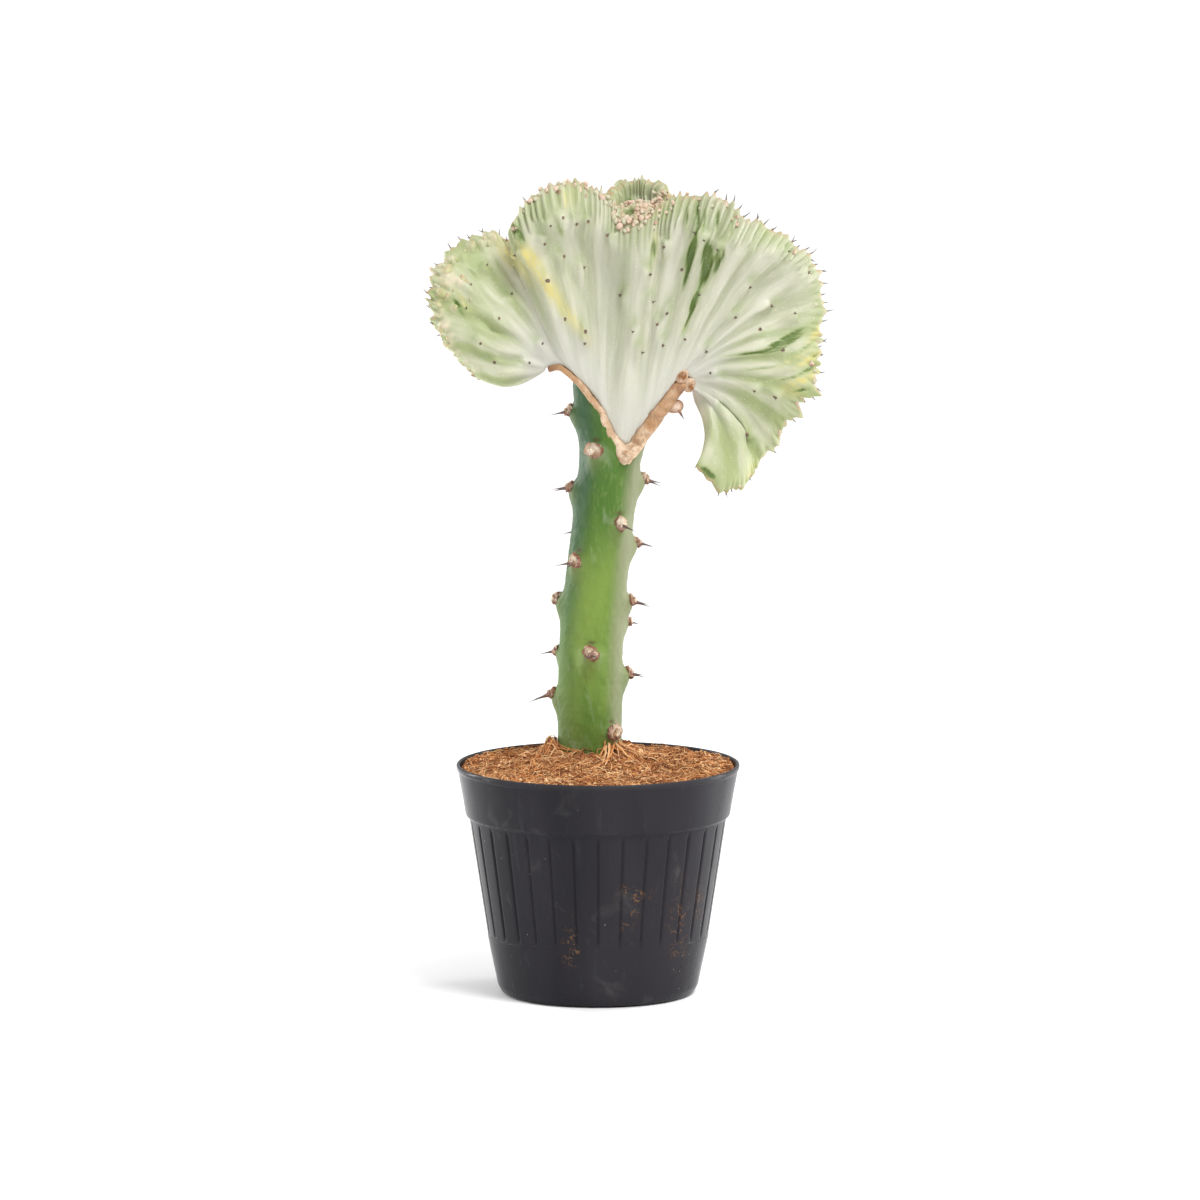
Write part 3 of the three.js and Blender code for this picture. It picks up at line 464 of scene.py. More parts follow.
def rim_tooth(sheet, u):
    """A small tooth on each rib, and on the main fan the large ones: size (1 - d)^1.2, d the distance along the
    rim over TOOTH_REACH."""
    number = np.round(rib_place(sheet, u))
    small = TOOTH * rib_shape(sheet, u) ** 3 * (0.55 + 0.45 * np.sin(number * 4.6 + sheet["seed"]))
    small = small * (1 + 0.6 * bell(u, 0.1, 0.09))
    if sheet is not MAIN:
        return small
    near = np.maximum(0, 1 - np.abs(u[..., None] - RIM_TEETH[:, 0] / TOOTH_PLACES) / TOOTH_REACH)
    return np.maximum(small, (1.15 * RIM_TEETH[:, 1] * near**1.2).max(-1))


def relief(sheet, u, v, side):
    """Broad ridges that fan out from the neck, finer waves between them, ribs from the shoulder to the rim, and a
    lip where a rib starts, exp(-(d / 0.02)^2) of the distance from there."""
    ridge, wander = ridge_shape(u, side)
    fine = np.cos(2 * np.pi * 47 * u + 4 * wander + 3 * v)
    fade = smooth(0.12, 0.4, v) * (1 - 0.6 * smooth(0.75, 0.95, v))
    amount = 0.62 + 0.5 * np.sin(31 * u + 1.0) * np.sin(4 * v + 17 * u)
    place = rib_place(sheet, u)
    number = np.round(place)
    start = along(sheet["start"], u) + 0.012 * np.cos(np.pi * place) + 0.016 * np.sin(1.9 * place)
    height = 1 + 0.35 * np.sin(2.7 * number)
    share = along(sheet["share"], u)
    strength = share * smooth(0, 0.05, v - start + 0.02) * (1 - smooth(0.97, 1, v))
    ribs = RIB_HEIGHT * (rib_shape(sheet, u) * height - 0.55) * strength
    nose = 0.5 + 0.5 * np.sin(3.9 * number)
    lip = 1.6 * nose * bell(v, start + 0.004, 0.02) * rib_shape(sheet, u) ** 2 * smooth(0.25, 0.6, share)
    return (RIDGE_HEIGHT * ridge * amount * calm(u) + 0.09 * fine) * fade + ribs + lip


def modelling(points, side):
    """What the main fan's face gains or loses besides its ridges and ribs: noses and lobules stand out, the listed
    green stains, some of them bands of painted shade, lie STAIN_DEPTH deep, and the front has its hollows."""
    sunk = STAIN_DEPTH * smooth(0.35, 1.0, stain(points, side > 0, GREEN_STAINS_AND_SHADE))
    return noses(points, side)[0] + LOBULE_RISE * lobules(points, side) - sunk - stain(points, side > 0, HOLLOWS)


def stain(points, front, list_of_stains):
    """The sum of exp(-(a / length)^2 - (b / width)^2) over the stains, a along each and b across it,
    mirrored on the back."""
    x = np.where(front, points[..., 0], MIRROR - points[..., 0])
    z = points[..., 2]
    total = np.zeros(x.shape)
    for cx, cz, length, width, lean, strength in list_of_stains:
        c, s = math.cos(math.radians(lean)), math.sin(math.radians(lean))
        a = (x - cx) * s + (z - cz) * c
        b = (x - cx) * c - (z - cz) * s
        total += strength * np.exp(-((a / length) ** 2) - (b / width) ** 2)
    return total


def crest_sheet(sheet, columns, rows):
    """The closed skin of a fan: each ray's path runs up its front face, over the rim and down its back face."""
    v = np.concatenate([rows, rows[-2::-1]])
    side = np.concatenate([np.ones(len(rows)), -np.ones(len(rows) - 1)])
    u, v = np.meshgrid(np.linspace(0, 1, columns + 1), v, indexing="ij")
    side = np.broadcast_to(side, v.shape)
    middle, normal = mid_point(sheet, u, v), mid_normal(sheet, u, v)
    half = half_thickness(sheet, u, v)
    raised = relief(sheet, u, v, side) * np.minimum(1, half / 2)
    points = middle + normal * (side * (half + raised))[..., None]
    shape = rib_shape(sheet, u)
    points = points + rim_way(sheet, u) * (rim_tooth(sheet, u) * smooth(0.87, 0.97, v))[..., None]
    grain = rough_at(points, 5.0) * 0.1 + (modelling(points, side) if sheet is MAIN else 0)
    points = points + normal * (side * grain * np.minimum(1, half / 2))[..., None]
    in_ribs = smooth(0, 0.05, v - along(sheet["start"], u))
    ridge = ridge_shape(u, side)[0]
    # Painted shade, tinted green: the furrows between ridges and the grooves between ribs are darkened.
    groove = mix(np.clip(0.3 - ridge, 0, 1) * smooth(0.15, 0.45, v) * 0.5 * calm(u), 1 - shape, in_ribs)
    return closed_skin(points, {
        # Ridge tops painted lighter and furrows darker: painted light and shade along the relief, partly green tint.
        "ridge": mix(0.62, np.clip((ridge + 0.35) / 1.4, 0, 1), calm(u)),
        # A painted shadow on the flesh past each nose.
        "painted_nose_shadow": noses(points, side)[1] if sheet is MAIN else 0,
        "ray": u, "reach": v, "groove": groove,
        # Green stains, partly painted shade in folds, under the shoulder and in rib grooves.
        "green": stain(points, side > 0, GREEN_STAINS_AND_SHADE), "yellow": stain(points, side > 0, YELLOW_STAINS),
        "edge": smooth(0.955, 1.0, v) * mix(0.35, 1, shape), "lobule": np.clip(lobules(points, side), 0, 1),
        # Painted shade in the hollows.
        "painted_hollow_shade": np.clip(stain(points, side > 0, HOLLOWS) / 2, 0, 1),
    })


def place_of(places):
    """The u and v on the main fan whose middle lies nearest to each place that is seen from the front."""
    u, v = np.meshgrid(np.linspace(0.01, 0.99, 240), np.linspace(0.1, 0.95, 90), indexing="ij")
    middle = mid_point(MAIN, u, v)[..., [0, 2]].reshape(1, -1, 2)
    best = np.argmin(((middle - places[:, None]) ** 2).sum(-1), axis=1)
    return u.ravel()[best], v.ravel()[best]


def face_point(sheet, u, v, side):
    """A point on a face of the fan, the face's outward direction there, and the direction to the rim."""
    normal = mid_normal(sheet, u, v) * np.asarray(side)[..., None]
    reach = half_thickness(sheet, u, v) + relief(sheet, u, v, side)
    up = unit(mid_point(sheet, u, np.minimum(v + 0.05, 1)) - mid_point(sheet, u, v - 0.05))
    point = mid_point(sheet, u, v) + normal * reach[..., None]
    return point + normal * modelling(point, np.asarray(side))[..., None], normal, up


def areole_places():
    """Rows of u, v, face (1 front, -1 back) and height of the nose: on the front at the listed places, on the back
    by the golden rule."""
    draw = np.random.default_rng(71)
    u1, v1 = place_of(FRONT_AREOLES)
    k = np.arange(64)
    u2, v2 = 0.04 + 0.92 * ((k * GOLDEN) % 1), 0.3 + 0.55 * np.sqrt(draw.random(64))
    u, v = np.concatenate([u1, u2]), np.concatenate([v1, v2])
    side = np.concatenate([np.ones(len(u1)), -np.ones(len(u2))])
    height = np.where(np.abs(v - 0.8) < 0.08, 2.8, 1.9) * draw.uniform(0.75, 1.25, len(u))
    return np.stack([u, v, side, height], -1)


AREOLES = areole_places()
at_areole = mid_point(MAIN, AREOLES[:, 0], AREOLES[:, 1])[:, [0, 2]]
ray_there = at_areole - mid_point(MAIN, AREOLES[:, 0], AREOLES[:, 1] - 0.05)[:, [0, 2]]
NOSES = np.concatenate([at_areole, unit(ray_there), AREOLES[:, 2:]], 1)
# How many ribs bear a spine at the rim, and how long it is in mm, at places spread evenly along the rim.
SPINE_SHARE = np.array([0.3, 0.5, 0.6, 0.6, 0.55, 0.4, 0.2, 0.2, 0.2, 0.2, 0.7, 0.85, 0.8, 0.75, 0.75, 0.7, 0.45,
                        0.35, 0.25, 0.25])
SPINE_SIZE = np.array([1.4, 1.8, 2.1, 2.3, 2.2, 1.4, 0.9, 0.8, 0.8, 1.0, 2.4, 2.9, 2.6, 2.3, 2.3, 2.0, 1.7, 1.6, 1.3,
                       1.2])


def crest_thorns():
    """Pairs of short spines on the areoles, and spines on the tips of some ribs. Each is a cone bent by t^2
    towards the rim."""
    draw = np.random.default_rng(72)
    u, v, side, _ = AREOLES.T
    foot, normal, up = face_point(MAIN, u, v, side)
    across = unit(np.cross(normal, up))
    number = np.arange(4, RIBS - 2)
    number = number[draw.random(len(number)) < along(SPINE_SHARE, number / RIBS)]
    spread = np.linspace(0, 1, 3000)
    ur = np.interp(number, rib_place(MAIN, spread), spread)
    tip = mid_point(MAIN, ur, np.ones_like(ur))
    out = rim_way(MAIN, ur)
    tip = tip + out * (rim_tooth(MAIN, ur) - 0.2)[:, None]
    flat = mid_normal(MAIN, ur, np.full_like(ur, 0.95))
    size = along(SPINE_SIZE, ur)
    feet, ways, bends, lengths = [], [], [], []
    for sign in (-1, 1):
        feet.append(foot)
        ways.append(unit(normal + 0.4 * up + sign * 0.55 * across))
        bends.append(up)
        lengths.append(draw.uniform(0.9, 1.7, len(foot)))
        feet.append(tip)
        ways.append(unit(out + sign * 0.4 * flat + 0.3 * draw.normal(0, 1, tip.shape)))
        bends.append(draw.normal(0, 1, tip.shape))
        share = 1.0 if sign > 0 else draw.choice([0.3, 0.8], len(tip))
        lengths.append(size * share * draw.uniform(0.7, 1.25, len(tip)))
    feet, ways, bends, lengths = (np.concatenate(x) for x in (feet, ways, bends, lengths))
    t = np.linspace(-0.15, 1, 6)[None, :, None]
    paths = feet[:, None] + ways[:, None] * t * lengths[:, None, None]
    paths = paths + bends[:, None] * 0.2 * t**2 * np.sign(t) * lengths[:, None, None]
    thick = 0.22 + 0.05 * lengths
    radii = thick[:, None] * ((1 - np.linspace(0, 0.93, 6)) ** 0.8)[None, :]
    tone = np.broadcast_to(np.linspace(0, 1, 6), paths.shape[:2])
    return tubes(paths, radii, 5, {"tip": tone}), (foot, normal)


def rim_buds():
    """Corky buds on the rim: many where the fan curls over in the middle of the top, fewer elsewhere."""
    draw = np.random.default_rng(5)
    u = draw.random(900)
    chance = 0.16 + 0.9 * bell(u, 0.31, 0.045) + 0.75 * bell(u, 0.42, 0.035) + 0.3 * bell(u, 0.55, 0.05)
    chance = chance + 0.6 * bell(u, 0.1, 0.08) - 0.1 * smooth(0.8, 0.95, u)
    u = np.sort(u[draw.random(900) < chance * 0.7])
    v = draw.uniform(0.93, 1.0, len(u))
    side = np.where(draw.random(len(u)) < 0.62, 1.0, -1.0)
    normal = mid_normal(MAIN, u, v) * side[:, None]
    centre = mid_point(MAIN, u, v) + normal * (half_thickness(MAIN, u, v) * 0.95)[:, None]
    up = rim_way(MAIN, u)
    crowd = bell(u, 0.42, 0.04) + 0.6 * bell(u, 0.31, 0.035)
    radii = draw.uniform(0.5, 1.0, len(u)) * (1 + 0.55 * crowd)
    centre = centre + up * (draw.uniform(-0.2, 1.2, len(u)) * (1 + crowd))[:, None]
    tone = draw.random(len(u))
    return knobs(centre, normal + up * 0.8, radii, 1.25, seed=6, values={"tone": tone})


def rim_lobules():
    """The fleshy lobules: two lumpy knobs for each, of 0.72 of its half width, with tan tips."""
    draw = np.random.default_rng(19)
    around = np.repeat(LOBULES, 2, axis=0)
    around[1::2, :2] += draw.normal(0, 2.4, (len(LOBULES), 2))
    around[1::2, 2] *= 0.6
    u, v = place_of(around[:, :2])
    point, normal, up = face_point(MAIN, u, v, np.ones(len(u)))
    reach = around[:, 2] * 0.72
    full = np.ones(len(u))
    made = knobs(point - normal * (0.5 * reach)[:, None], normal + 0.9 * up, reach, 1.35, 9, 14, 21,
                 {"ridge": draw.random(len(u)), "ray": 0.1 * full, "reach": 0.9 * full, "lobule": 0.6 * full,
                  "yellow": draw.uniform(0, 0.3, len(u)), "green": draw.uniform(0, 0.3, len(u))})
    made[2]["edge"] = made[2]["tip"] ** 6
    # Painted shade round the foot of each lobule knob.
    made[2]["groove"] = (1 - made[2]["tip"]) ** 2
    return made


def crown_skin():
    """The lumpy crown between the rim and its back fold: an ellipsoid times 1 + 0.06 crossed sines, with rough
    bumps, and a pit in its front."""
    ball = ball_grid(70, 140)[2]
    lump = 1 + 0.06 * np.sin(9 * ball[..., 0] + 2) * np.sin(11 * ball[..., 2] + 5 * ball[..., 1])
    points = ball * lump[..., None] * CROWN_HALF + CROWN_MIDDLE
    pit = bell(np.linalg.norm(points - CROWN_PIT, axis=-1), 0, PIT_RADIUS)
    dips = np.clip(0.5 - rough_at(points, 3.4), 0, 1)
    points = points + ball * (0.35 * rough_at(points, 3.4) + 0.15 * rough_at(points, 1.2, 2.0) - 2.6 * pit)[..., None]
    return closed_skin(points, {
        # Painted shade in the dips and the pit, the pit also painted dark green; the tops between dips painted lighter.
        "ridge": 1 - dips, "ray": 0.5, "reach": 0.75, "groove": dips, "green": 0.25 * dips + pit, "yellow": 0.15,
        "edge": 0.35, "lobule": 0.45, "painted_hollow_shade": pit,
    })


def crown_buds():
    """Buds crowded over the front and top of the crown, along the lip in front of it and up its right side."""
    draw = np.random.default_rng(15)
    ball = unit(draw.normal(0, 1, (1100, 3)))
    ball = ball[(ball[:, 1] < 0.45) & (ball[:, 2] > -0.1)][:400]
    on_crown = CROWN_MIDDLE + ball * CROWN_HALF * 0.99
    away = np.linalg.norm(on_crown - CROWN_PIT, axis=-1)
    on_crown, ball = on_crown[away > 3.1], ball[away > 3.1]
    t = draw.random(70)[:, None]
    side = mix(np.array([21.5, -4.0, 305.5]), np.array([24.6, 6.0, 314.4]), t) + draw.normal(0, 1.2, (70, 3))
    centre = np.concatenate([on_crown, side])
    out = np.concatenate([unit(ball * CROWN_HALF[::-1]), unit(draw.normal(0, 0.4, (70, 3)) + [0.2, -0.8, 0.4])])
    radii = draw.uniform(0.55, 1.0, len(centre)) ** 2 * 1.05
    stretch = draw.uniform(0.8, 1.7, (len(centre), 1, 1))
    return knobs(centre, out, radii, stretch, 6, 9, 16, {"tone": draw.random(len(centre))})


# The stem and the graft.

def stem_axis(height):
    """The axis: x along its lean, and y from its foot's to the neck's."""
    x = along(STEM_LEAN, (height - HOLE_FLOOR) / STEM_LENGTH)
    y = mix(STEM_DEPTH, NECK_DEPTH, smooth(90, 220, height))
    return np.stack([x, y, height + 0 * x], -1)


def stem_point(height, angle):
    """The axis plus R (1 - slim + flare)(1 + 0.022 cos(5a)), flattened in depth under the graft."""
    radius = STEM_RADIUS * (1 - 0.045 * smooth(*TAPER, height) + 0.4 * smooth(*FLARE, height))
    reach = radius * (1 + 0.022 * np.cos(5 * angle + height * 0.012))
    deep = mix(1.0, 0.72, smooth(*FLARE, height))
    way = np.stack([np.cos(angle) * reach, np.sin(angle) * reach * deep, 0 * reach], -1)
    return stem_axis(height) + way


def graft_height(x):
    """The height of the middle of the V at x."""
    line = np.concatenate([LEFT_ARM, RIGHT_ARM[1:]])
    return np.interp(x, line[:, 0], line[:, 1])


def stem_skin():
    """The stem's skin from its foot up to the V, with a swelling exp(-d^2) under each tubercle, faint ribs
    that run between the tubercles and shallow scars. Its top is closed by strips that run along y."""
    around, rows = 160, 320
    angle = bearings(around, 0.5)
    top = np.full(around, 225.0)
    for _ in range(12):
        top = 0.5 * top + 0.5 * graft_height(stem_point(top, angle)[:, 0])
    t = np.linspace(0, 1, rows)[:, None]
    height = mix(HOLE_FLOOR + 0.4, top[None, :], t)
    angle = np.broadcast_to(angle, height.shape)
    points = stem_point(height, angle)
    way = polar(1.0, angle, 0.0)
    swell = np.zeros(height.shape)
    scar = np.zeros(height.shape)
    for h, bearing, _ in TUBERCLES:
        off = (angle - math.radians(bearing - 90) + np.pi) % (2 * np.pi) - np.pi
        d = off * STEM_RADIUS
        swell += SWELLING * np.exp(-((d / 3.8) ** 2) - ((height - h + 1.0) / np.where(height < h, 6.0, 3.6)) ** 2)
        scar += np.exp(-((d / 1.5) ** 2) - ((height - h - 4.3) / 0.7) ** 2)
    skin = 0.16 * rough_at(points, 9.0) + 0.05 * rough_at(points, 1.8, 3.0)
    points = points + way * (swell + skin - 0.25 * np.clip(scar, 0, 1))[..., None]
    values = {"scar": np.clip(scar, 0, 1).ravel(), "rise": height.ravel(),
              "swell": np.clip(swell / SWELLING, 0, 1).ravel(), "side": np.cos(angle).ravel()}
    faces = grid_faces(rows, around, True)
    last, half = (rows - 1) * around, around // 2
    front = last + half + np.arange(half)
    back = last + half - 1 - np.arange(half)
    lid = np.concatenate([np.stack([front[:-1], front[1:], back[1:]], -1),
                          np.stack([front[:-1], back[1:], back[:-1]], -1)])
    foot = np.stack([np.arange(1, around - 1), np.zeros(around - 2, int), np.arange(2, around)], -1)
    faces = np.concatenate([faces, lid, foot])
    points = points.reshape(-1, 3)
    return points, outward(points, faces), values


def stem_pads():
    """The corky pads on the tubercles, two lumpy and uneven knobs for each, and the spines that they bear: cones
    with a broad foot, r = 1.35 (1 - t)^5 + 0.5 (1 - t), that droop by t^2."""
    h, bearing, spines = TUBERCLES.T
    angle = np.radians(bearing - 90)
    out = unit(polar(1.0, angle, 0.16))
    base = stem_point(h, angle) + out * PAD_SEAT
    big = np.where(spines == 0, 1.12, 1.0)
    draw = np.random.default_rng(31)
    tone = draw.random(len(h))
    low = np.array([0.0, 0.0, -1.0])
    front = np.cos(np.radians(bearing)) > 0.6
    pads = together([
        knobs(base - out * 0.4, out, np.where(front, 2.9, 2.4) * big, 0.6, 13, 22, 3, {"tone": tone}),
        knobs(base + out * 0.5 + low * 0.6, out, 1.8 * big, 0.85, 11, 18, 4, {"tone": 1 - tone}),
    ])
    uneven = np.stack([rough_at(pads[0], 2.6, seed) for seed in (1.0, 2.0, 3.0)], -1)
    pads = (pads[0] + 0.75 * uneven, *pads[1:])
    side = np.stack([-np.sin(angle), np.cos(angle), 0 * angle], -1)
    feet, ways = [], []
    for sign in (1, -1):
        bears = spines >= (1 if sign > 0 else 2)
        feet.append((base + out * 0.8 + low * 0.8)[bears])
        ways.append(unit(out + side * 0.42 * sign + low * 0.3 + draw.normal(0, 0.1, out.shape))[bears])
    feet, ways = np.concatenate(feet), np.concatenate(ways)
    longer = np.concatenate([np.where(h == 117, 1.45, 1.0)[spines >= least] for least in (1, 2)])
    length = (draw.uniform(1.05, 1.6, len(feet)) * longer)[:, None, None] * STEM_SPINE
    t = np.linspace(-0.08, 1, 12)[None, :, None]
    paths = feet[:, None] + ways[:, None] * t * length + np.array([0, 0, -0.5]) * t**2
    left_over = 1 - np.linspace(0, 0.97, 12)
    radii = np.broadcast_to(1.35 * left_over**5 + 0.5 * left_over, paths.shape[:2]).copy()
    tone = np.broadcast_to(np.linspace(0, 1, 12), paths.shape[:2])
    return pads, tubes(paths, radii, 9, {"tip": tone})


def callus_arm(arm, inner, outer, seed):
    """The band along one arm of the V: a superellipse |cos|^0.7 by |sin|^0.7 of its half width and half depth,
    with waves and rough bumps. The tip is drawn in, and the left arm runs on past the V's bottom to a point."""
    stations, sides = 130, 56
    left = arm is LEFT_ARM
    s = np.linspace(0, 1.12 if left else 1.0, stations)[:, None]
    t = np.minimum(s, 1)
    x, z, half, deep = (along(arm[:, k], t) for k in range(4))
    half = half * (mix(0.62, 1, smooth(0.55, 0.95, s)) if left else 1.0)
    run = np.stack([along(arm[:, k], np.minimum(t + 0.02, 1)) - along(arm[:, k], np.maximum(t - 0.02, 0))
                    for k in range(2)], -1)
    run = run / np.linalg.norm(run, axis=-1, keepdims=True)
    past = np.maximum(s - 1, 0) / 0.12
    x, z = x + run[..., 0] * 4.6 * past, z + run[..., 1] * 4.6 * past
    tip = s if left else 1 - s
    close = np.sqrt(np.clip(tip / 0.03, 0.0, 1.0)) * (1 - 0.8 * past) * np.where(past > 0.999, 0.0, 1.0)
    angle = bearings(sides)[None, :]
    c, d = np.cos(angle), np.sin(angle)
    lump = 1 + 0.05 * np.sin(s * 23 + angle * 2 + seed) + 0.03 * np.sin(s * 61 + angle * 3)
    across = (half + np.where(c > 0, inner, outer)) * np.sign(c) * np.abs(c) ** 0.7 * lump * close
    depth = (deep + 0.1) * np.sign(d) * np.abs(d) ** 0.7 * lump * np.sqrt(close)
    points = np.stack([x - run[..., 1] * across, NECK_DEPTH + depth, z + run[..., 0] * across], -1)
    middle = np.stack([x, NECK_DEPTH + 0 * x, z], -1)
    bumps = 0.3 * rough_at(points, 6.0, seed) + 0.14 * rough_at(points, 1.9, 2.0) + 0.08 * rough_at(points, 0.8, 4.0)
    points = points + unit(points - middle) * (bumps * close * (0.45 if left else 1.0))[..., None]
    crack = bell(c, 0.8, 0.14) * (d < 0) * (smooth(0.05, 0.3, s) * smooth(1.0, 0.8, s) if not left else 0.35)
    return closed_skin(points, {"crack": crack, "tipward": 1 - tip})


# The coir.

def from_stem(x, y):
    """The distance from the middle of the stem's foot."""
    return np.hypot(x - STEM_FOOT[0], y - STEM_FOOT[1])


def soil_top(x, y):
    """The level of the coir: a mound exp(-(d / 21)^2) round the stem, broad heaps and rough crumbs."""
    away = from_stem(x, y)
    heap = np.sin(x * 0.31 + 1.3 * np.sin(y * 0.21)) * np.cos(y * 0.27 + 1.1 * np.sin(x * 0.13))
    crumbs = 0.7 * rough(x, y, 0 * x, 6.0) + 0.45 * rough(x, y, 0 * x, 2.1, 5.0)
    left = 4.5 * bell(x, -18.9, 4) * bell(y, 5.0, 5)
    right = 2.5 * bell(x, 12.6, 5) * bell(y, 5.0, 6)
    return SOIL_LEVEL + MOUND_HEIGHT * bell(away, 0, MOUND_SPREAD) + left + right + HEAP * heap + crumbs


def soil_body():
    """A polar grid: the rough top from the stem's hole to the wall, then down the wall and under the bottom."""
    around = 360
    turn = bearings(around)
    share = np.linspace(0, 1, 120) ** 0.9
    radius = mix(STEM_RADIUS * 1.04 + 0.3, SOIL_RADIUS + 0.5, share)[:, None]
    x = radius * np.cos(turn) + STEM_FOOT[0] * (1 - share[:, None])
    y = radius * np.sin(turn) + STEM_FOOT[1] * (1 - share[:, None])
    top = np.stack([x, y, soil_top(x, y)], -1)
    lower = [(COLLAR_RADIUS - 2.6, COLLAR_FOOT), (40.9, FLUTE_FOOT), (BASE_RADIUS + 2.2, POT_FLOOR + 1.9),
             (BASE_RADIUS + 0.6, POT_FLOOR + 0.3), (0.0, POT_FLOOR + 0.3)]
    under = np.stack([polar(r, turn, z) for r, z in lower])
    hole_x, hole_y = top[0, :, 0], top[0, :, 1]
    hole = np.stack([np.stack([hole_x, hole_y, z + 0 * turn], -1) for z in (HOLE_FLOOR, 70.0)])
    hub = np.broadcast_to(np.array([*STEM_FOOT, HOLE_FLOOR]), (1, around, 3))
    points = np.concatenate([hub, hole, top, under])
    return closed_skin(points, {"tone": 0.5 + 0.5 * rough_at(points, 7.0, 9.0)})


def fibres(count, seed, longest, thickest, lift, steps):
    """Coir fibres: arcs that start anywhere on the coir, turn by a steady bend, rise by lift sin(pi t) over it
    and dip their ends into it, kept inside the pot's wall and off the stem."""
    draw = np.random.default_rng(seed)
    away = 13.2 + 38.6 * np.sqrt(draw.random(count)) ** 1.1
    turn = draw.uniform(0, 2 * np.pi, count)
    x0, y0 = away * np.cos(turn) - 2.2, away * np.sin(turn) + 4.2
    length = longest * draw.uniform(0.25, 1, count) ** 1.5
    heading = draw.uniform(0, 2 * np.pi, count)
    bend = draw.normal(0, 1.1, count)
    t = np.linspace(0, 1, steps)[None, :]
    way = heading[:, None] + bend[:, None] * t
    step = length[:, None] / (steps - 1)
    x = x0[:, None] + np.cumsum(np.cos(way) * step, axis=1)
    y = y0[:, None] + np.cumsum(np.sin(way) * step, axis=1)
    reach = np.hypot(x, y)
    held = np.minimum(reach, SOIL_RADIUS - 0.4) / np.maximum(reach, 1e-6)
    x, y = x * held, y * held
    push = np.maximum(FIBRE_CLEAR / np.maximum(from_stem(x, y), 1e-6), 1)
    x, y = (x - STEM_FOOT[0]) * push + STEM_FOOT[0], (y - STEM_FOOT[1]) * push + STEM_FOOT[1]
    arch = lift * draw.uniform(0.1, 1, count)[:, None] * np.sin(np.pi * t)
    z = soil_top(x, y) + arch + draw.uniform(-0.1, 0.25, count)[:, None] - 0.35 * (np.abs(2 * t - 1) ** 6)
    z = np.where(np.hypot(x, y) > 46, np.minimum(z, POT_HEIGHT + 0.4), z)
    radii = thickest * draw.uniform(0.4, 1, count)[:, None] * (1 - 0.75 * np.abs(2 * t - 1) ** 4)
    return tubes(np.stack([x, y, z], -1), radii, 3, {"tone": draw.random(count)})


def crumbs_of_coir(count, seed):
    """Small pieces of pith: lumpy knobs that lie half sunk in the coir."""
    draw = np.random.default_rng(seed)
    away = CRUMB_CLEAR + 38.0 * np.sqrt(draw.random(count))
    turn = draw.uniform(0, 2 * np.pi, count)
    x, y = away * np.cos(turn) - 1.4, away * np.sin(turn) + 3.0
    keep = (np.hypot(x, y) < SOIL_RADIUS - 1.4) & (from_stem(x, y) > CRUMB_CLEAR)
    x, y = x[keep], y[keep]
    centre = np.stack([x, y, soil_top(x, y) + 0.1], -1)
    out = draw.normal(0, 1, centre.shape)
    size = draw.uniform(0.3, 1.05, len(x)) ** 1.4
    return knobs(centre, out, size, 1.5, 3, 5, seed, {"tone": draw.random(len(x))})


def root_strands():
    """Roots that run from the foot of the lowest tubercle down the mound, as bent tubes on its surface."""
    draw = np.random.default_rng(44)
    count, steps = 22, 14
    start = np.radians(draw.uniform(-66, -34, count))
    t = np.linspace(0, 1, steps)[None, :]
    run = draw.uniform(4, 15, count)[:, None]
    way = start[:, None] + draw.normal(-0.1, 0.4, count)[:, None] * t**1.5
    away = STEM_RADIUS + 0.9 + run * t**1.6
    x = STEM_FOOT[0] + away * np.cos(way)
    y = STEM_FOOT[1] + away * np.sin(way)
    climb = draw.uniform(0.2, 1.0, count)[:, None] ** 0.8 * 6.6 * (1 - t) ** 1.6
    z = soil_top(x, y) + 0.3 + climb
    radii = draw.uniform(0.22, 0.55, count)[:, None] * (1 - 0.55 * t)
    return tubes(np.stack([x, y, z], -1), radii, 6, {"tone": 0.35 + 0.65 * draw.random(count)})


# The pot.

def filleted(corners, radius, steps):
    """A profile with each inner corner replaced by a quadratic arc between points that lie radius before and
    after it, or a third of the way to the next corner if that is nearer."""
    path = [corners[0]]
    for before, here, after in zip(corners[:-2], corners[1:-1], corners[2:]):
        back, on = before - here, after - here
        reach = [min(radius, np.linalg.norm(w) / 3) / np.linalg.norm(w) for w in (back, on)]
        a, b = here + back * reach[0], here + on * reach[1]
        for t in np.linspace(0, 1, steps + 1):
            path.append(a * (1 - t) ** 2 + here * 2 * t * (1 - t) + b * t**2)
    return np.array([*path, corners[-1]])


def finer(path, step):
    """The same path with points no further apart than the step, or a third of it near the ends of the flutes."""
    pieces = []
    for a, b in zip(path[:-1], path[1:]):
        near = min(abs((a[1] + b[1]) / 2 - FLUTE_FOOT), abs((a[1] + b[1]) / 2 - COLLAR_FOOT)) < 2.5
        count = max(1, int(np.ceil(np.linalg.norm(b - a) / (step / 3 if near else step))))
        pieces.append(a + (b - a) * np.linspace(0, 1, count, endpoint=False)[:, None])
    return np.concatenate([*pieces, path[-1:]])


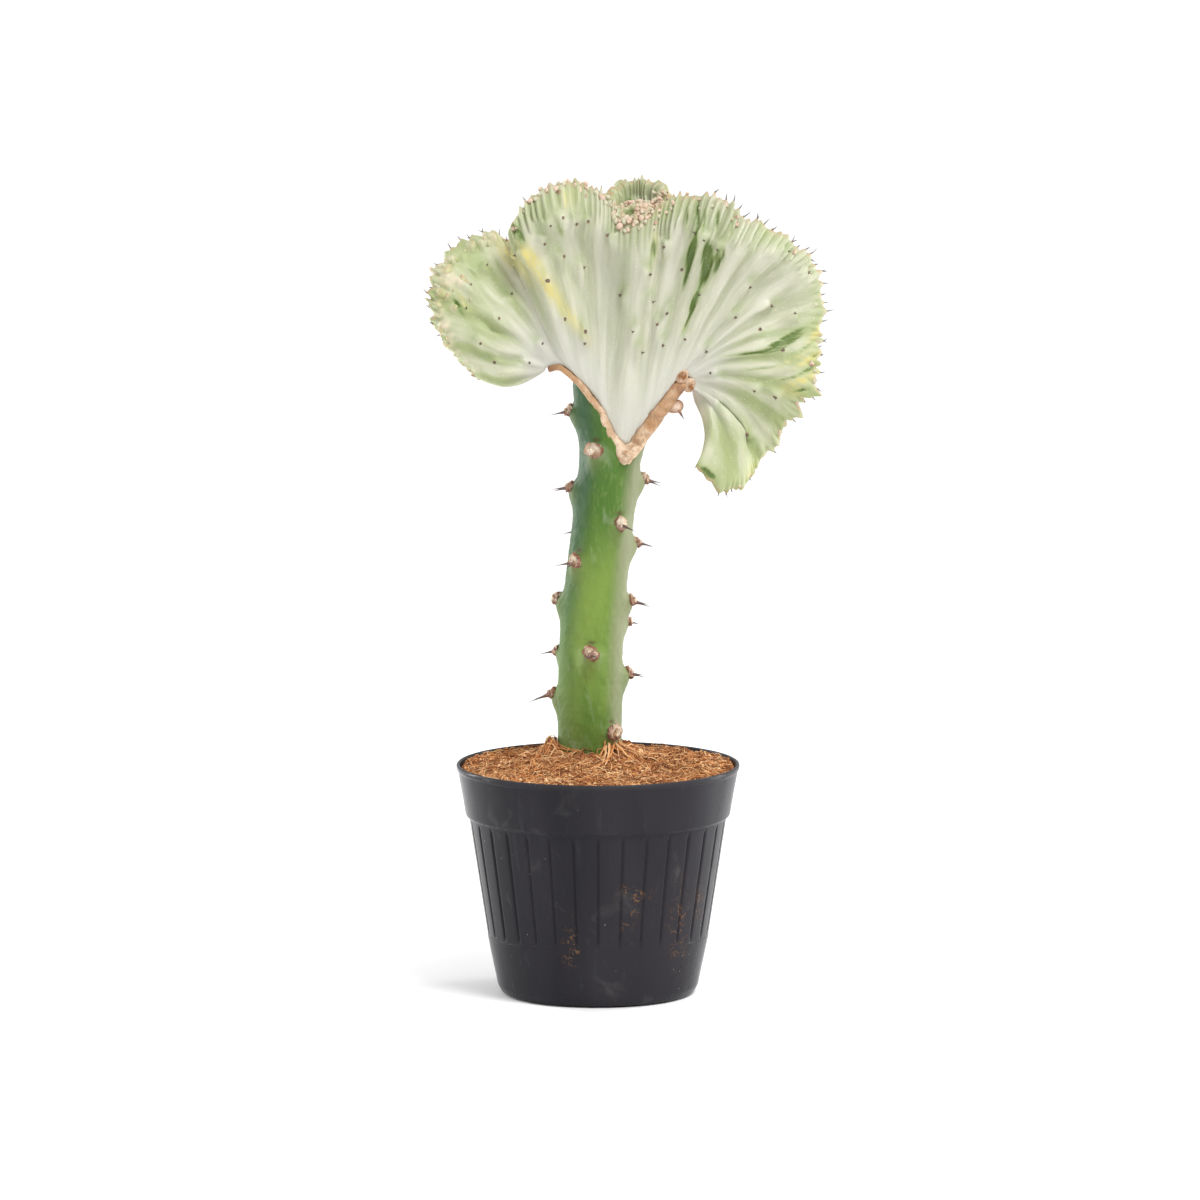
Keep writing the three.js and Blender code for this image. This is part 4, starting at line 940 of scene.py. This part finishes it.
def pot_wall():
    """A profile turned round the axis: up the outside, over the rim, down the inside and in to the centre. The
    flutes are grooves exp(-(a / w)^6) between flat ribs, with soft ends."""
    outside = np.array([
        [0.0, 0.7], [BASE_RADIUS - 3, 0.7], [BASE_RADIUS - 2.2, 0.0], [BASE_RADIUS, 0.0], [BASE_RADIUS + 2.8, 0.9],
        [BASE_RADIUS + 4.2, 3.6], [43.3, FLUTE_FOOT - 0.6], [43.2, FLUTE_FOOT], [50.35, COLLAR_FOOT - 0.7],
        [COLLAR_RADIUS + 0.25, COLLAR_FOOT], [COLLAR_RADIUS + 0.5, COLLAR_FOOT + 0.8],
        [RIM_RADIUS - 0.55, POT_HEIGHT - 2.6], [RIM_RADIUS, POT_HEIGHT - 1.8], [RIM_RADIUS, POT_HEIGHT - 0.4],
        [RIM_RADIUS - 0.45, POT_HEIGHT], [RIM_RADIUS - WALL, POT_HEIGHT - 0.1], [COLLAR_RADIUS - 2.1, COLLAR_FOOT],
        [41.6, FLUTE_FOOT], [BASE_RADIUS + 3, POT_FLOOR + 1.4], [BASE_RADIUS + 1, POT_FLOOR], [0.0, POT_FLOOR],
    ])
    path = finer(filleted(outside, 0.5, 3), 2.6)
    top = int(np.argmax(path[:, 1]))
    spread = np.array([-0.4, -0.25, -0.15, -0.1, -0.075, -0.05, -0.025, 0, 0.025, 0.05, 0.075, 0.1, 0.15, 0.25])
    turn = ((np.arange(FLUTES)[:, None] + spread) * 2 * np.pi / FLUTES).ravel()
    radius, height = path[:, 0:1], path[:, 1:2]
    outer = (np.arange(len(path)) < top)[:, None]
    window = smooth(FLUTE_FOOT, FLUTE_FOOT + 1.6, height) * (1 - smooth(COLLAR_FOOT - 2.2, COLLAR_FOOT - 0.9, height))
    offset = (turn * FLUTES / (2 * np.pi) + 0.5) % 1.0 - 0.5
    groove = np.exp(-((np.abs(offset) / 0.06) ** 2.4))[None, :]
    in_flute = groove * window * outer
    bent = 0.35 * bell(height, POT_HEIGHT, 9.0) * np.sin(2 * turn + 1.1) * (radius > 45)
    sway = 0.06 * np.sin(turn * 5 + height * 0.07) * (radius > 30)
    reach = radius - FLUTE_DEPTH * in_flute + (bent + sway) * np.minimum(radius / 40, 1)
    points = polar(reach, turn, height)
    points[0, :, :2] = 0
    points[-1, :, :2] = 0
    # Values for the finish: painted shade in the flutes and a painted highlight along the rim's lip.
    return closed_skin(points, {"groove": in_flute, "lip": bell(height, POT_HEIGHT, 1.4)})


def drained(pot):
    """Cuts the drain holes through the pot's floor."""
    turn = bearings(DRAIN_HOLES, 0.5)
    paths = np.stack([polar(DRAIN_CIRCLE, turn, z) for z in (-3.0, 5.0)], 1)
    points, faces, _ = tubes(paths, np.full((DRAIN_HOLES, 2), DRAIN_RADIUS), 24)
    mesh = bpy.data.meshes.new("drain_cutter")
    mesh.from_pydata((points * MM).tolist(), [], faces.tolist())
    cutter = put_in("drain_cutter", mesh)
    cut = pot.modifiers.new("drain_holes", "BOOLEAN")
    cut.object, cut.operation, cut.solver = cutter, "DIFFERENCE", "EXACT"
    made = bpy.data.meshes.new_from_object(pot.evaluated_get(bpy.context.evaluated_depsgraph_get()))
    pot.modifiers.clear()
    pot.data = made
    bpy.data.objects.remove(cutter)
    bpy.data.meshes.remove(mesh)


# The finishes.

class Finish:
    """A material and short ways to add to its nodes."""

    def __init__(self, name):
        self.material = bpy.data.materials.new(name)
        self.material.use_nodes = True
        self.tree = self.material.node_tree
        self.shader = self.tree.nodes["Principled BSDF"]
        self.place = self.tree.nodes.new("ShaderNodeTexCoord").outputs["Object"]

    def link(self, value, socket):
        """Joins a value to a socket, or sets a plain number there."""
        if isinstance(value, bpy.types.NodeSocket):
            self.tree.links.new(value, socket)
        else:
            socket.default_value = value

    def value(self, name):
        """The value that each point of the piece carries under this name."""
        node = self.tree.nodes.new("ShaderNodeAttribute")
        node.attribute_name = name
        return node.outputs["Fac"]

    def maths(self, operation, a, b, clamp=False):
        node = self.tree.nodes.new("ShaderNodeMath")
        node.operation, node.use_clamp = operation, clamp
        self.link(a, node.inputs[0])
        self.link(b, node.inputs[1])
        return node.outputs[0]

    def times(self, a, b, clamp=False):
        return self.maths("MULTIPLY", a, b, clamp)

    def plus(self, a, b):
        return self.maths("ADD", a, b)

    def stretched(self, by):
        """The place on the piece, times a factor along each axis."""
        node = self.tree.nodes.new("ShaderNodeMapping")
        self.link(self.place, node.inputs["Vector"])
        node.inputs["Scale"].default_value = by
        return node.outputs[0]

    def cloud(self, scale, detail=3.0, source=None, distortion=0.0):
        """Soft noise, about 0.5 on average."""
        node = self.tree.nodes.new("ShaderNodeTexNoise")
        self.link(source or self.place, node.inputs["Vector"])
        node.inputs["Scale"].default_value = scale
        node.inputs["Detail"].default_value = detail
        node.inputs["Distortion"].default_value = distortion
        return node.outputs["Fac"]

    def cells(self, scale, source=None):
        """The distance from the nearest of many scattered points."""
        node = self.tree.nodes.new("ShaderNodeTexVoronoi")
        self.link(source or self.place, node.inputs["Vector"])
        node.inputs["Scale"].default_value = scale
        return node.outputs["Distance"]

    def span(self, value, low, high, to_low=0.0, to_high=1.0):
        """A value from low to high, brought smoothly to the range from to_low to to_high."""
        node = self.tree.nodes.new("ShaderNodeMapRange")
        node.interpolation_type = "SMOOTHSTEP"
        for socket, number in zip(node.inputs, (value, low, high, to_low, to_high)):
            self.link(number, socket)
        return node.outputs[0]

    def blend(self, share, a, b):
        """a where the share is 0 and b where it is 1."""
        node = self.tree.nodes.new("ShaderNodeMix")
        node.data_type, node.blend_type = "RGBA", "MIX"
        self.link(share, node.inputs["Factor"])
        for value, socket in ((a, node.inputs[6]), (b, node.inputs[7])):
            self.link(value if isinstance(value, bpy.types.NodeSocket) else (*value, 1.0), socket)
        return node.outputs[2]

    def coats(self, colour, *over):
        """The colour with each (share, colour) blended over it in turn."""
        for share, coat in over:
            colour = self.blend(share, colour, coat)
        return colour

    def rays(self, across, up):
        """The place on the fan: the ray's number and the reach along it, each times a factor."""
        node = self.tree.nodes.new("ShaderNodeCombineXYZ")
        self.link(self.times(self.value("ray"), across), node.inputs[0])
        self.link(self.times(self.value("reach"), up), node.inputs[1])
        return node.outputs[0]

    def waxy(self, weight, radius):
        """Lets some light through the skin: how much, and how far in metres for red, green and blue."""
        for name, number in (("Weight", weight), ("Radius", radius), ("Scale", 1.0)):
            self.shader.inputs["Subsurface " + name].default_value = number

    def done(self, colour, roughness, bump=None, depth=0.3, reach=0.0004):
        """The material, with its colour, its roughness and its bumps joined up."""
        self.link(colour, self.shader.inputs["Base Color"])
        self.link(roughness, self.shader.inputs["Roughness"])
        if bump is not None:
            node = self.tree.nodes.new("ShaderNodeBump")
            node.inputs["Strength"].default_value = depth
            node.inputs["Distance"].default_value = reach
            self.link(bump, node.inputs["Height"])
            self.link(node.outputs[0], self.shader.inputs["Normal"])
        return self.material


def waxy_flesh():
    """Pale waxy flesh: white at the neck, grey-green and cream streaks along the rays, greener lobes, green and
    yellow stains, and pink-tan tips. Ridge tops are painted lighter, and painted shade, tinted green, lies in the
    furrows, rib grooves, hollows, some green stains and past each nose."""
    f = Finish("crest_flesh_finish")
    streaks = f.cloud(1.0, 4.0, f.rays(60.0, 2.4), 0.4)
    fine = f.cloud(1.0, 3.0, f.rays(240.0, 7.0), 0.2)
    soft = f.cloud(26.0, 3.0, None, 0.5)
    ray, reach, green = f.value("ray"), f.value("reach"), f.value("green")
    # Ridge tops painted lighter and furrows darker: painted light and shade, mixed with the real streaks.
    high = f.span(f.plus(f.times(f.value("ridge"), 0.5), streaks), 0.55, 1.12)
    side_lobes = f.plus(f.span(ray, 0.12, 0.24, 0.75, 0.0), f.span(ray, 0.66, 0.86, 0.0, 0.8))
    deep_green_and_shade = f.times(green, f.span(fine, 0.3, 0.7, 0.55, 1.35))
    yellow = f.times(f.value("yellow"), f.span(fine, 0.3, 0.7, 0.35, 1.35))
    colour = f.coats(
        f.blend(high, (0.415, 0.43, 0.29), (0.64, 0.63, 0.51)),
        (f.span(fine, 0.52, 0.72, 0.0, 0.3), (0.74, 0.71, 0.59)),
        (f.span(soft, 0.45, 0.68, 0.0, 0.35), (0.50, 0.51, 0.36)),
        # Painted shade in the hollows and the crown's pit.
        (f.times(f.value("painted_hollow_shade"), 0.6), (0.43, 0.45, 0.32)),
        (f.span(reach, 0.02, 0.5, 0.85, 0.0), (0.575, 0.57, 0.51)),
        (f.times(side_lobes, f.span(reach, 0.2, 0.6)), f.blend(high, (0.325, 0.38, 0.15), (0.545, 0.56, 0.385))),
        (f.times(f.span(reach, 0.8, 0.97), f.span(soft, 0.35, 0.6, 0.15, 0.6)), (0.39, 0.44, 0.20)),
        # A painted shadow past each nose.
        (f.times(f.value("painted_nose_shadow"), 0.55), (0.34, 0.41, 0.19)),
        # Painted shade, tinted green, in the furrows and the grooves between ribs.
        (f.times(f.value("groove"), f.span(soft, 0.3, 0.6, 0.35, 0.75)), (0.28, 0.355, 0.14)),
        (f.times(f.value("lobule"), f.span(f.cloud(220.0, 3.0), 0.35, 0.6, 0.25, 0.75)), (0.76, 0.63, 0.48)),
        (f.maths("MINIMUM", yellow, 0.9), (0.64, 0.56, 0.19)),
        # Green stains, partly painted shade: the deepest green darkens folds and the hollow under the shoulder.
        (f.times(green, 0.9, True), (0.32, 0.40, 0.14)),
        (f.span(deep_green_and_shade, 0.28, 0.85, 0.0, 0.95), (0.115, 0.18, 0.035)),
        (f.times(f.value("edge"), f.span(f.cloud(420.0, 2.0), 0.38, 0.6, 0.1, 0.85)), (0.50, 0.33, 0.20)),
        (f.span(f.cells(520.0), 0.1, 0.2, 0.25, 0.0), (0.76, 0.75, 0.66)),
    )
    f.waxy(0.1, (0.0028, 0.0034, 0.0016))
    bump = f.plus(f.times(fine, 0.6), f.cloud(900.0, 3.0))
    return f.done(colour, f.span(soft, 0.3, 0.7, 0.42, 0.58), bump, 0.25, 0.0003)


def green_skin():
    """Green stem skin: blue-green under the graft, yellow-green lower down, painted shade darkening the left side
    and painted light with some grey-brown on the right flank, with grey bloom, pale nicks and dark leaf scars."""
    f = Finish("stem_skin_finish")
    wide = f.cloud(55.0, 4.0, f.stretched((1.0, 1.0, 0.25)), 0.6)
    fine = f.cloud(900.0, 3.0, f.stretched((1.0, 1.0, 0.3)))
    rise = f.value("rise")
    side = f.plus(f.value("side"), f.times(wide, 0.3))
    nick = f.span(f.cells(150.0, f.stretched((1.0, 1.0, 0.4))), 0.05, 0.1, 0.45, 0.0)
    colour = f.coats(
        f.blend(f.span(wide, 0.35, 0.65), (0.095, 0.19, 0.025), (0.20, 0.30, 0.058)),
        (f.span(rise, 150.0, 205.0, 0.0, 0.75), (0.062, 0.145, 0.026)),
        (f.span(rise, 120.0, 92.0, 0.0, 0.5), (0.10, 0.145, 0.03)),
        (f.span(fine, 0.5, 0.75, 0.0, 0.3), (0.25, 0.34, 0.10)),
        # Painted light with some grey-brown on the right flank, and painted shade on the left, darker higher up.
        (f.times(f.span(side, 0.55, 1.0), f.span(wide, 0.3, 0.6, 0.35, 0.85)), (0.25, 0.255, 0.155)),
        (f.times(f.span(side, -0.1, -0.7), f.span(rise, 90.0, 215.0, 0.35, 1.0)), (0.03, 0.085, 0.03)),
        (f.span(f.cloud(120.0, 4.0, f.stretched((1.0, 1.0, 0.5)), 0.8), 0.56, 0.72, 0.0, 0.35), (0.34, 0.40, 0.26)),
        (f.times(f.value("swell"), 0.5), (0.24, 0.27, 0.11)),
        (f.times(nick, f.span(f.cloud(60.0, 2.0), 0.56, 0.66)), (0.50, 0.48, 0.33)),
        (f.times(f.value("scar"), 0.85), (0.09, 0.05, 0.025)),
    )
    f.shader.inputs["Specular IOR Level"].default_value = 0.18
    f.waxy(0.06, (0.001, 0.0018, 0.0006))
    return f.done(colour, f.span(wide, 0.3, 0.7, 0.38, 0.55), f.plus(fine, wide), 0.25, 0.0003)


def corky(name, low, high, dark):
    """Dry cork: from the low to the high colour in clouds, with dark pits and blots."""
    f = Finish(name)
    wide, fine = f.cloud(190.0, 4.0, None, 0.6), f.cloud(1100.0, 4.0)
    colour = f.coats(
        f.blend(f.span(wide, 0.38, 0.62), low, high),
        (f.span(fine, 0.5, 0.72, 0.0, 0.55), dark),
        (f.span(f.cloud(110.0, 2.0, None, 1.2), 0.6, 0.7, 0.0, 0.7), dark),
    )
    return f, colour, f.plus(fine, f.times(wide, 1.5))


def callus_cork():
    """The callus: tan cork, browner towards the tips of the arms, with a dark crack along them."""
    f, colour, bump = corky("callus_cork_finish", (0.52, 0.34, 0.20), (0.74, 0.57, 0.41), (0.36, 0.18, 0.08))
    tipward = f.value("tipward")
    worn = f.span(f.cloud(300.0, 3.0), 0.3, 0.6, 0.4, 1.0)
    colour = f.coats(
        colour,
        (f.times(f.span(tipward, 0.15, 0.6, 0.0, 0.75), worn), (0.42, 0.22, 0.10)),
        (f.times(f.value("crack"), 0.8), (0.17, 0.07, 0.03)),
        (f.times(f.span(tipward, 0.78, 1.0, 0.0, 0.9), f.span(f.cloud(180.0, 2.0), 0.4, 0.55)), (0.26, 0.11, 0.05)),
    )
    return f.done(colour, 0.82, bump, 0.7, 0.0007)


def knot_cork():
    """The knots at the tip of the right arm: tan with a dark brown middle."""
    f, colour, bump = corky("knot_finish", (0.60, 0.40, 0.26), (0.72, 0.55, 0.41), (0.42, 0.22, 0.11))
    middle = f.times(f.span(f.value("tip"), 0.84, 0.97), f.span(f.cloud(420.0, 3.0), 0.35, 0.55, 0.25, 1.0))
    return f.done(f.blend(middle, colour, (0.24, 0.09, 0.025)), 0.8, bump, 0.7, 0.0007)


def pad_cork(name, tan, pale, brown):
    """A corky pad or bud: tan and pale mottled, brown underneath and round its pale top."""
    f, colour, bump = corky(name, tan, pale, brown)
    tip = f.value("tip")
    worn = f.span(f.cloud(330.0, 3.0, None, 0.8), 0.36, 0.58, 0.1, 1.0)
    colour = f.coats(
        colour,
        (f.span(f.value("low"), -0.1, 0.75, 0.0, 0.75), brown),
        (f.times(f.value("tone"), 0.3), pale),
        (f.times(f.span(tip, 0.55, 0.97, 0.95, 0.0), worn), brown),
        (f.span(tip, 0.86, 0.99, 0.0, 0.7), pale),
    )
    return f.done(colour, 0.8, bump, 0.6, 0.0005)


def bud_flesh():
    """Buds of the rim and crown: pinkish tan to green-cream by the bud, brown at their feet and in blots."""
    f = Finish("rim_bud_finish")
    fine = f.cloud(900.0, 3.0)
    colour = f.coats(
        f.blend(f.span(f.value("tone"), 0.3, 0.75), (0.72, 0.53, 0.41), (0.56, 0.55, 0.38)),
        (f.span(fine, 0.5, 0.7, 0.0, 0.6), (0.78, 0.68, 0.56)),
        (f.span(f.cloud(330.0, 2.0), 0.54, 0.66, 0.0, 0.7), (0.34, 0.18, 0.10)),
        (f.span(f.value("low"), 0.0, 0.9, 0.0, 0.7), (0.27, 0.17, 0.08)),
    )
    return f.done(colour, 0.7, fine, 0.5, 0.0004)


def dark_spine(name, foot, point):
    """Spines: one colour at the foot and another towards the point, with grey patches."""
    f = Finish(name)
    shade = f.cloud(700.0, 3.0)
    colour = f.blend(f.span(f.value("tip"), 0.05, 0.5), foot, point)
    colour = f.blend(f.span(shade, 0.45, 0.7, 0.0, 0.4), colour, (0.24, 0.2, 0.17))
    return f.done(colour, f.span(shade, 0.3, 0.7, 0.42, 0.62), shade, 0.2, 0.0002)


def coir_finish(name, dark, middle, light):
    """Dry coconut fibre: each strand has its own tone, with stains over all."""
    f = Finish(name)
    tone, wide, fine = f.value("tone"), f.cloud(70.0, 4.0, None, 0.5), f.cloud(1300.0, 3.0)
    colour = f.coats(
        f.blend(f.span(tone, 0.1, 0.55), dark, middle),
        (f.span(tone, 0.6, 1.0), light),
        (f.span(wide, 0.5, 0.7, 0.0, 0.4), dark),
        (f.span(fine, 0.55, 0.75, 0.0, 0.4), light),
    )
    return f.done(colour, 0.9, fine, 0.5, 0.0004)


def pot_plastic():
    """Charcoal moulded plastic: fine grain, pale dust specks, vertical scuffs and brown flecks of dry soil, with
    painted shade in the flutes and a painted highlight along the lip of the rim.
    """
    f = Finish("pot_plastic_finish")
    wide = f.cloud(22.0, 4.0, f.stretched((1.0, 1.0, 0.3)), 0.4)
    scuff = f.span(f.cloud(260.0, 3.0, f.stretched((1.0, 1.0, 0.08))), 0.6, 0.78, 0.0, 0.2)
    specks = f.times(f.span(f.cells(260.0), 0.03, 0.09, 0.8, 0.0), f.span(f.cloud(40.0, 2.0), 0.5, 0.62))
    flecks = f.times(f.span(f.cloud(1000.0, 2.0), 0.5, 0.62), f.span(f.cloud(230.0, 2.0), 0.46, 0.56))
    colour = f.coats(
        f.blend(f.span(wide, 0.35, 0.7), (0.0185, 0.0172, 0.021), (0.029, 0.027, 0.032)),
        (scuff, (0.06, 0.06, 0.065)),
        (f.span(f.cloud(75.0, 3.0, None, 0.4), 0.6, 0.78, 0.0, 0.4), (0.10, 0.095, 0.09)),
        (specks, (0.26, 0.25, 0.24)),
        (f.times(flecks, f.value("soil")), (0.155, 0.08, 0.04)),
        # Painted shade in the flutes.
        (f.times(f.value("groove"), 0.35), (0.006, 0.006, 0.007)),
        # A painted highlight along the lip of the rim.
        (f.times(f.value("lip"), 0.25), (0.09, 0.09, 0.095)),
    )
    f.shader.inputs["Specular IOR Level"].default_value = 0.08
    roughness = f.plus(f.span(wide, 0.3, 0.7, 0.2, 0.3), f.times(scuff, 0.3))
    return f.done(colour, roughness, f.plus(f.cloud(1600.0, 2.0), wide), 0.12, 0.0002)


def stage_paper():
    """White studio paper with a very faint mottle."""
    f = Finish("stage_paper")
    mottle = f.cloud(2.0, 2.0)
    return f.done(f.blend(mottle, (0.96, 0.96, 0.96), (0.98, 0.98, 0.98)), 0.9)


# The plant and its pot.

flesh, bud_cork = waxy_flesh(), bud_flesh()
rows = np.concatenate([np.linspace(0, 0.74, 27)[:-1], np.linspace(0.74, 0.94, 24)[:-1], np.linspace(0.94, 1, 11)])
fold_rows = np.concatenate([np.linspace(0.3, 0.8, 14)[:-1], np.linspace(0.8, 1, 22)])
thorns, (areole_feet, areole_ways) = crest_thorns()
draw = np.random.default_rng(8)
areoles = knobs(areole_feet, areole_ways, draw.uniform(0.4, 0.9, len(areole_feet)), 0.45, 4, 8, 9,
                {"tone": draw.random(len(areole_feet))})
for name, made, finish in (
    ("crest_fan", crest_sheet(MAIN, RIBS * 6, rows), flesh),
    ("crest_back_fold", crest_sheet(BACK_FOLD, BACK_FOLD["ribs"] * 8, fold_rows), flesh),
    ("crest_spines", thorns, dark_spine("crest_spine_finish", (0.33, 0.2, 0.12), (0.10, 0.085, 0.08))),
    ("crest_lobules", rim_lobules(), flesh),
    ("crest_rim_buds", rim_buds(), bud_cork),
    ("crest_crown", crown_skin(), flesh),
    ("crest_crown_buds", crown_buds(), bud_cork),
    ("crest_areoles", areoles, pad_cork("areole_finish", (0.20, 0.12, 0.075), (0.36, 0.24, 0.16), (0.07, 0.04, 0.025))),
):
    new_piece(name, made, finish, "crest")

pads, stem_spines = stem_pads()
for name, made, finish in (
    ("stem", stem_skin(), green_skin()),
    ("stem_pads", pads, pad_cork("stem_pad_finish", (0.42, 0.25, 0.13), (0.74, 0.63, 0.49), (0.20, 0.07, 0.035))),
    ("stem_spines", stem_spines, dark_spine("stem_spine_finish", (0.3, 0.13, 0.08), (0.075, 0.045, 0.04))),
):
    new_piece(name, made, finish, "rootstock")

arms = together([callus_arm(LEFT_ARM, 1.4, 0.1, 0.0), callus_arm(RIGHT_ARM, 1.6, 0.2, 2.0)])
# The nodule under the right arm's outer side, with its thorn, and the knots at the arm's tip.
nodule_at = np.array([[29.8, NECK_DEPTH - 3, 231.4], [27.8, NECK_DEPTH - 4.4, 232.6]])
nodule = knobs(nodule_at, np.array([[0.4, -0.9, -0.3], [0.2, -1.0, 0.2]]), np.array([3.0, 2.4]), 0.95, 14, 20, 12,
               {"tone": np.array([0.7, 0.5])})
knot_at = np.array([[32.6, NECK_DEPTH - 4.2, 243.2], [35.2, NECK_DEPTH - 3.4, 239.9], [34.6, NECK_DEPTH + 1.0, 241.6]])
knots = knobs(knot_at, np.array([[0.1, -1.0, 0.2], [0.5, -1.0, 0.0], [0.3, -1.0, 0.1]]), np.array([2.9, 2.7, 3.4]), 1.1,
              14, 20, 13)
steps = np.linspace(-0.2, 1, 9)
thorn_path = np.array([31.6, NECK_DEPTH - 4, 229.8]) + steps[:, None] * np.array([2.0, -1.6, -3.4])
thorn = tubes(thorn_path[None], 0.95 * (1 - np.linspace(0, 0.95, 9)[None]) ** 1.2, 7, {"tip": steps[None]})
for name, made, finish in (
    ("callus", arms, callus_cork()),
    ("callus_thorn", thorn, dark_spine("callus_thorn_finish", (0.4, 0.19, 0.11), (0.12, 0.075, 0.06))),
    ("callus_knots", knots, knot_cork()),
    ("callus_nodule", nodule, pad_cork("nodule_finish", (0.6, 0.4, 0.28), (0.7, 0.54, 0.42), (0.36, 0.18, 0.11))),
):
    new_piece(name, made, finish, "graft_callus")

bed = coir_finish("coir_bed_finish", (0.15, 0.05, 0.018), (0.40, 0.15, 0.045), (0.52, 0.24, 0.08))
strand = coir_finish("coir_fibre_finish", (0.22, 0.066, 0.017), (0.62, 0.26, 0.08), (0.85, 0.56, 0.29))
for name, made, finish in (
    ("coir_bed", soil_body(), bed),
    ("coir_short_fibres", fibres(6300, 3, 9.0, 0.28, 1.1, 5), strand),
    ("coir_long_fibres", fibres(1300, 4, 20.0, 0.26, 2.0, 8), strand),
    ("coir_crumbs", crumbs_of_coir(2200, 5), strand),
    ("root_strands", root_strands(), strand),
):
    new_piece(name, made, finish, "growing_medium")

pot = new_piece("pot_shell", pot_wall(), pot_plastic(), "pot")
drained(pot)
# Dry soil on the front of the pot: [x, z, half width, half height].
spots = np.array([[14.5, 45, 5, 5], [11, 40, 2.4, 8], [31.6, 30, 2.6, 14], [39, 40, 2, 6], [-9.4, 25, 3.4, 7]])
count = len(pot.data.vertices)
at = np.zeros(count * 3, np.float32)
pot.data.vertices.foreach_get("co", at)
at = at.reshape(-1, 3) / MM
soiled = sum(np.exp(-(((at[:, 0] - x) / a) ** 2) - ((at[:, 2] - z) / b) ** 2) for x, z, a, b in spots)
soiled = np.clip(soiled * (at[:, 1] < 0), 0, 1)
give(pot.data, "soil", soiled)


# The studio.

def facing(way):
    """The turn that points a lamp or the camera along a direction."""
    return Vector(way).to_track_quat("-Z", "Y").to_euler()


def panel(name, at, look, size, power):
    """A soft rectangular lamp that faces a point, both in metres."""
    data = bpy.data.lights.new(name, "AREA")
    data.shape, data.size, data.size_y, data.energy = "RECTANGLE", size[0], size[1], power
    lamp = put_in(name, data)
    lamp.location = at
    lamp.rotation_euler = facing(Vector(look) - Vector(at))
    return lamp


paper = bpy.data.meshes.new("stage_floor")
edge = 14.0
paper.from_pydata([(-edge, -edge, 0), (edge, -edge, 0), (edge, edge, 0), (-edge, edge, 0)], [], [(0, 1, 2, 3)])
paper.materials.append(stage_paper())
floor = put_in("stage_floor", paper)

world = bpy.data.worlds.new("studio")
world.use_nodes = True
world.node_tree.nodes["Background"].inputs["Color"].default_value = (1.0, 1.0, 1.0, 1.0)
world.node_tree.nodes["Background"].inputs["Strength"].default_value = 0.6
bpy.context.scene.world = world
panel("key", (0.7, -1.6, 1.5), (0.0, 0.0, 0.2), (1.2, 1.2), 4.0)
panel("top", (0.1, 0.3, 1.6), (0.0, 0.0, 0.2), (1.4, 1.0), 1.5)
panel("left_strip", (-0.72, 0.44, 0.3), (0.0, 0.0, 0.06), (0.1, 0.8), 5.6)
panel("right_strip", (0.72, 0.36, 0.3), (0.0, 0.0, 0.06), (0.07, 0.8), 3.2)
# Two small lamps low at the sides give the pot's plastic its upright gleams.
for name, at, power in (("left_gleam", (-0.32, 0.03, 0.07), 0.13), ("right_gleam", (0.32, 0.09, 0.07), 0.15)):
    panel(name, at, (0.0, 0.0, 0.06), (0.02, 0.16), power).visible_camera = False
window = bpy.data.lights.new("window", "SUN")
window.energy, window.angle = 2.1, math.radians(24.0)
put_in("window", window).rotation_euler = facing((-0.36, 0.46, -0.81))

lens = bpy.data.cameras.new("camera")
lens.sensor_width, lens.lens = 36.0, 466.9
lens.clip_start, lens.clip_end = 0.5, 60.0
camera = put_in("camera", lens)
camera.location = (0.0008, -6.0, 1.068)
camera.rotation_euler = facing(Vector((0.0008, 0.0, 0.155)) - camera.location)
bpy.context.scene.camera = camera
bpy.context.scene.view_settings.view_transform = "Standard"
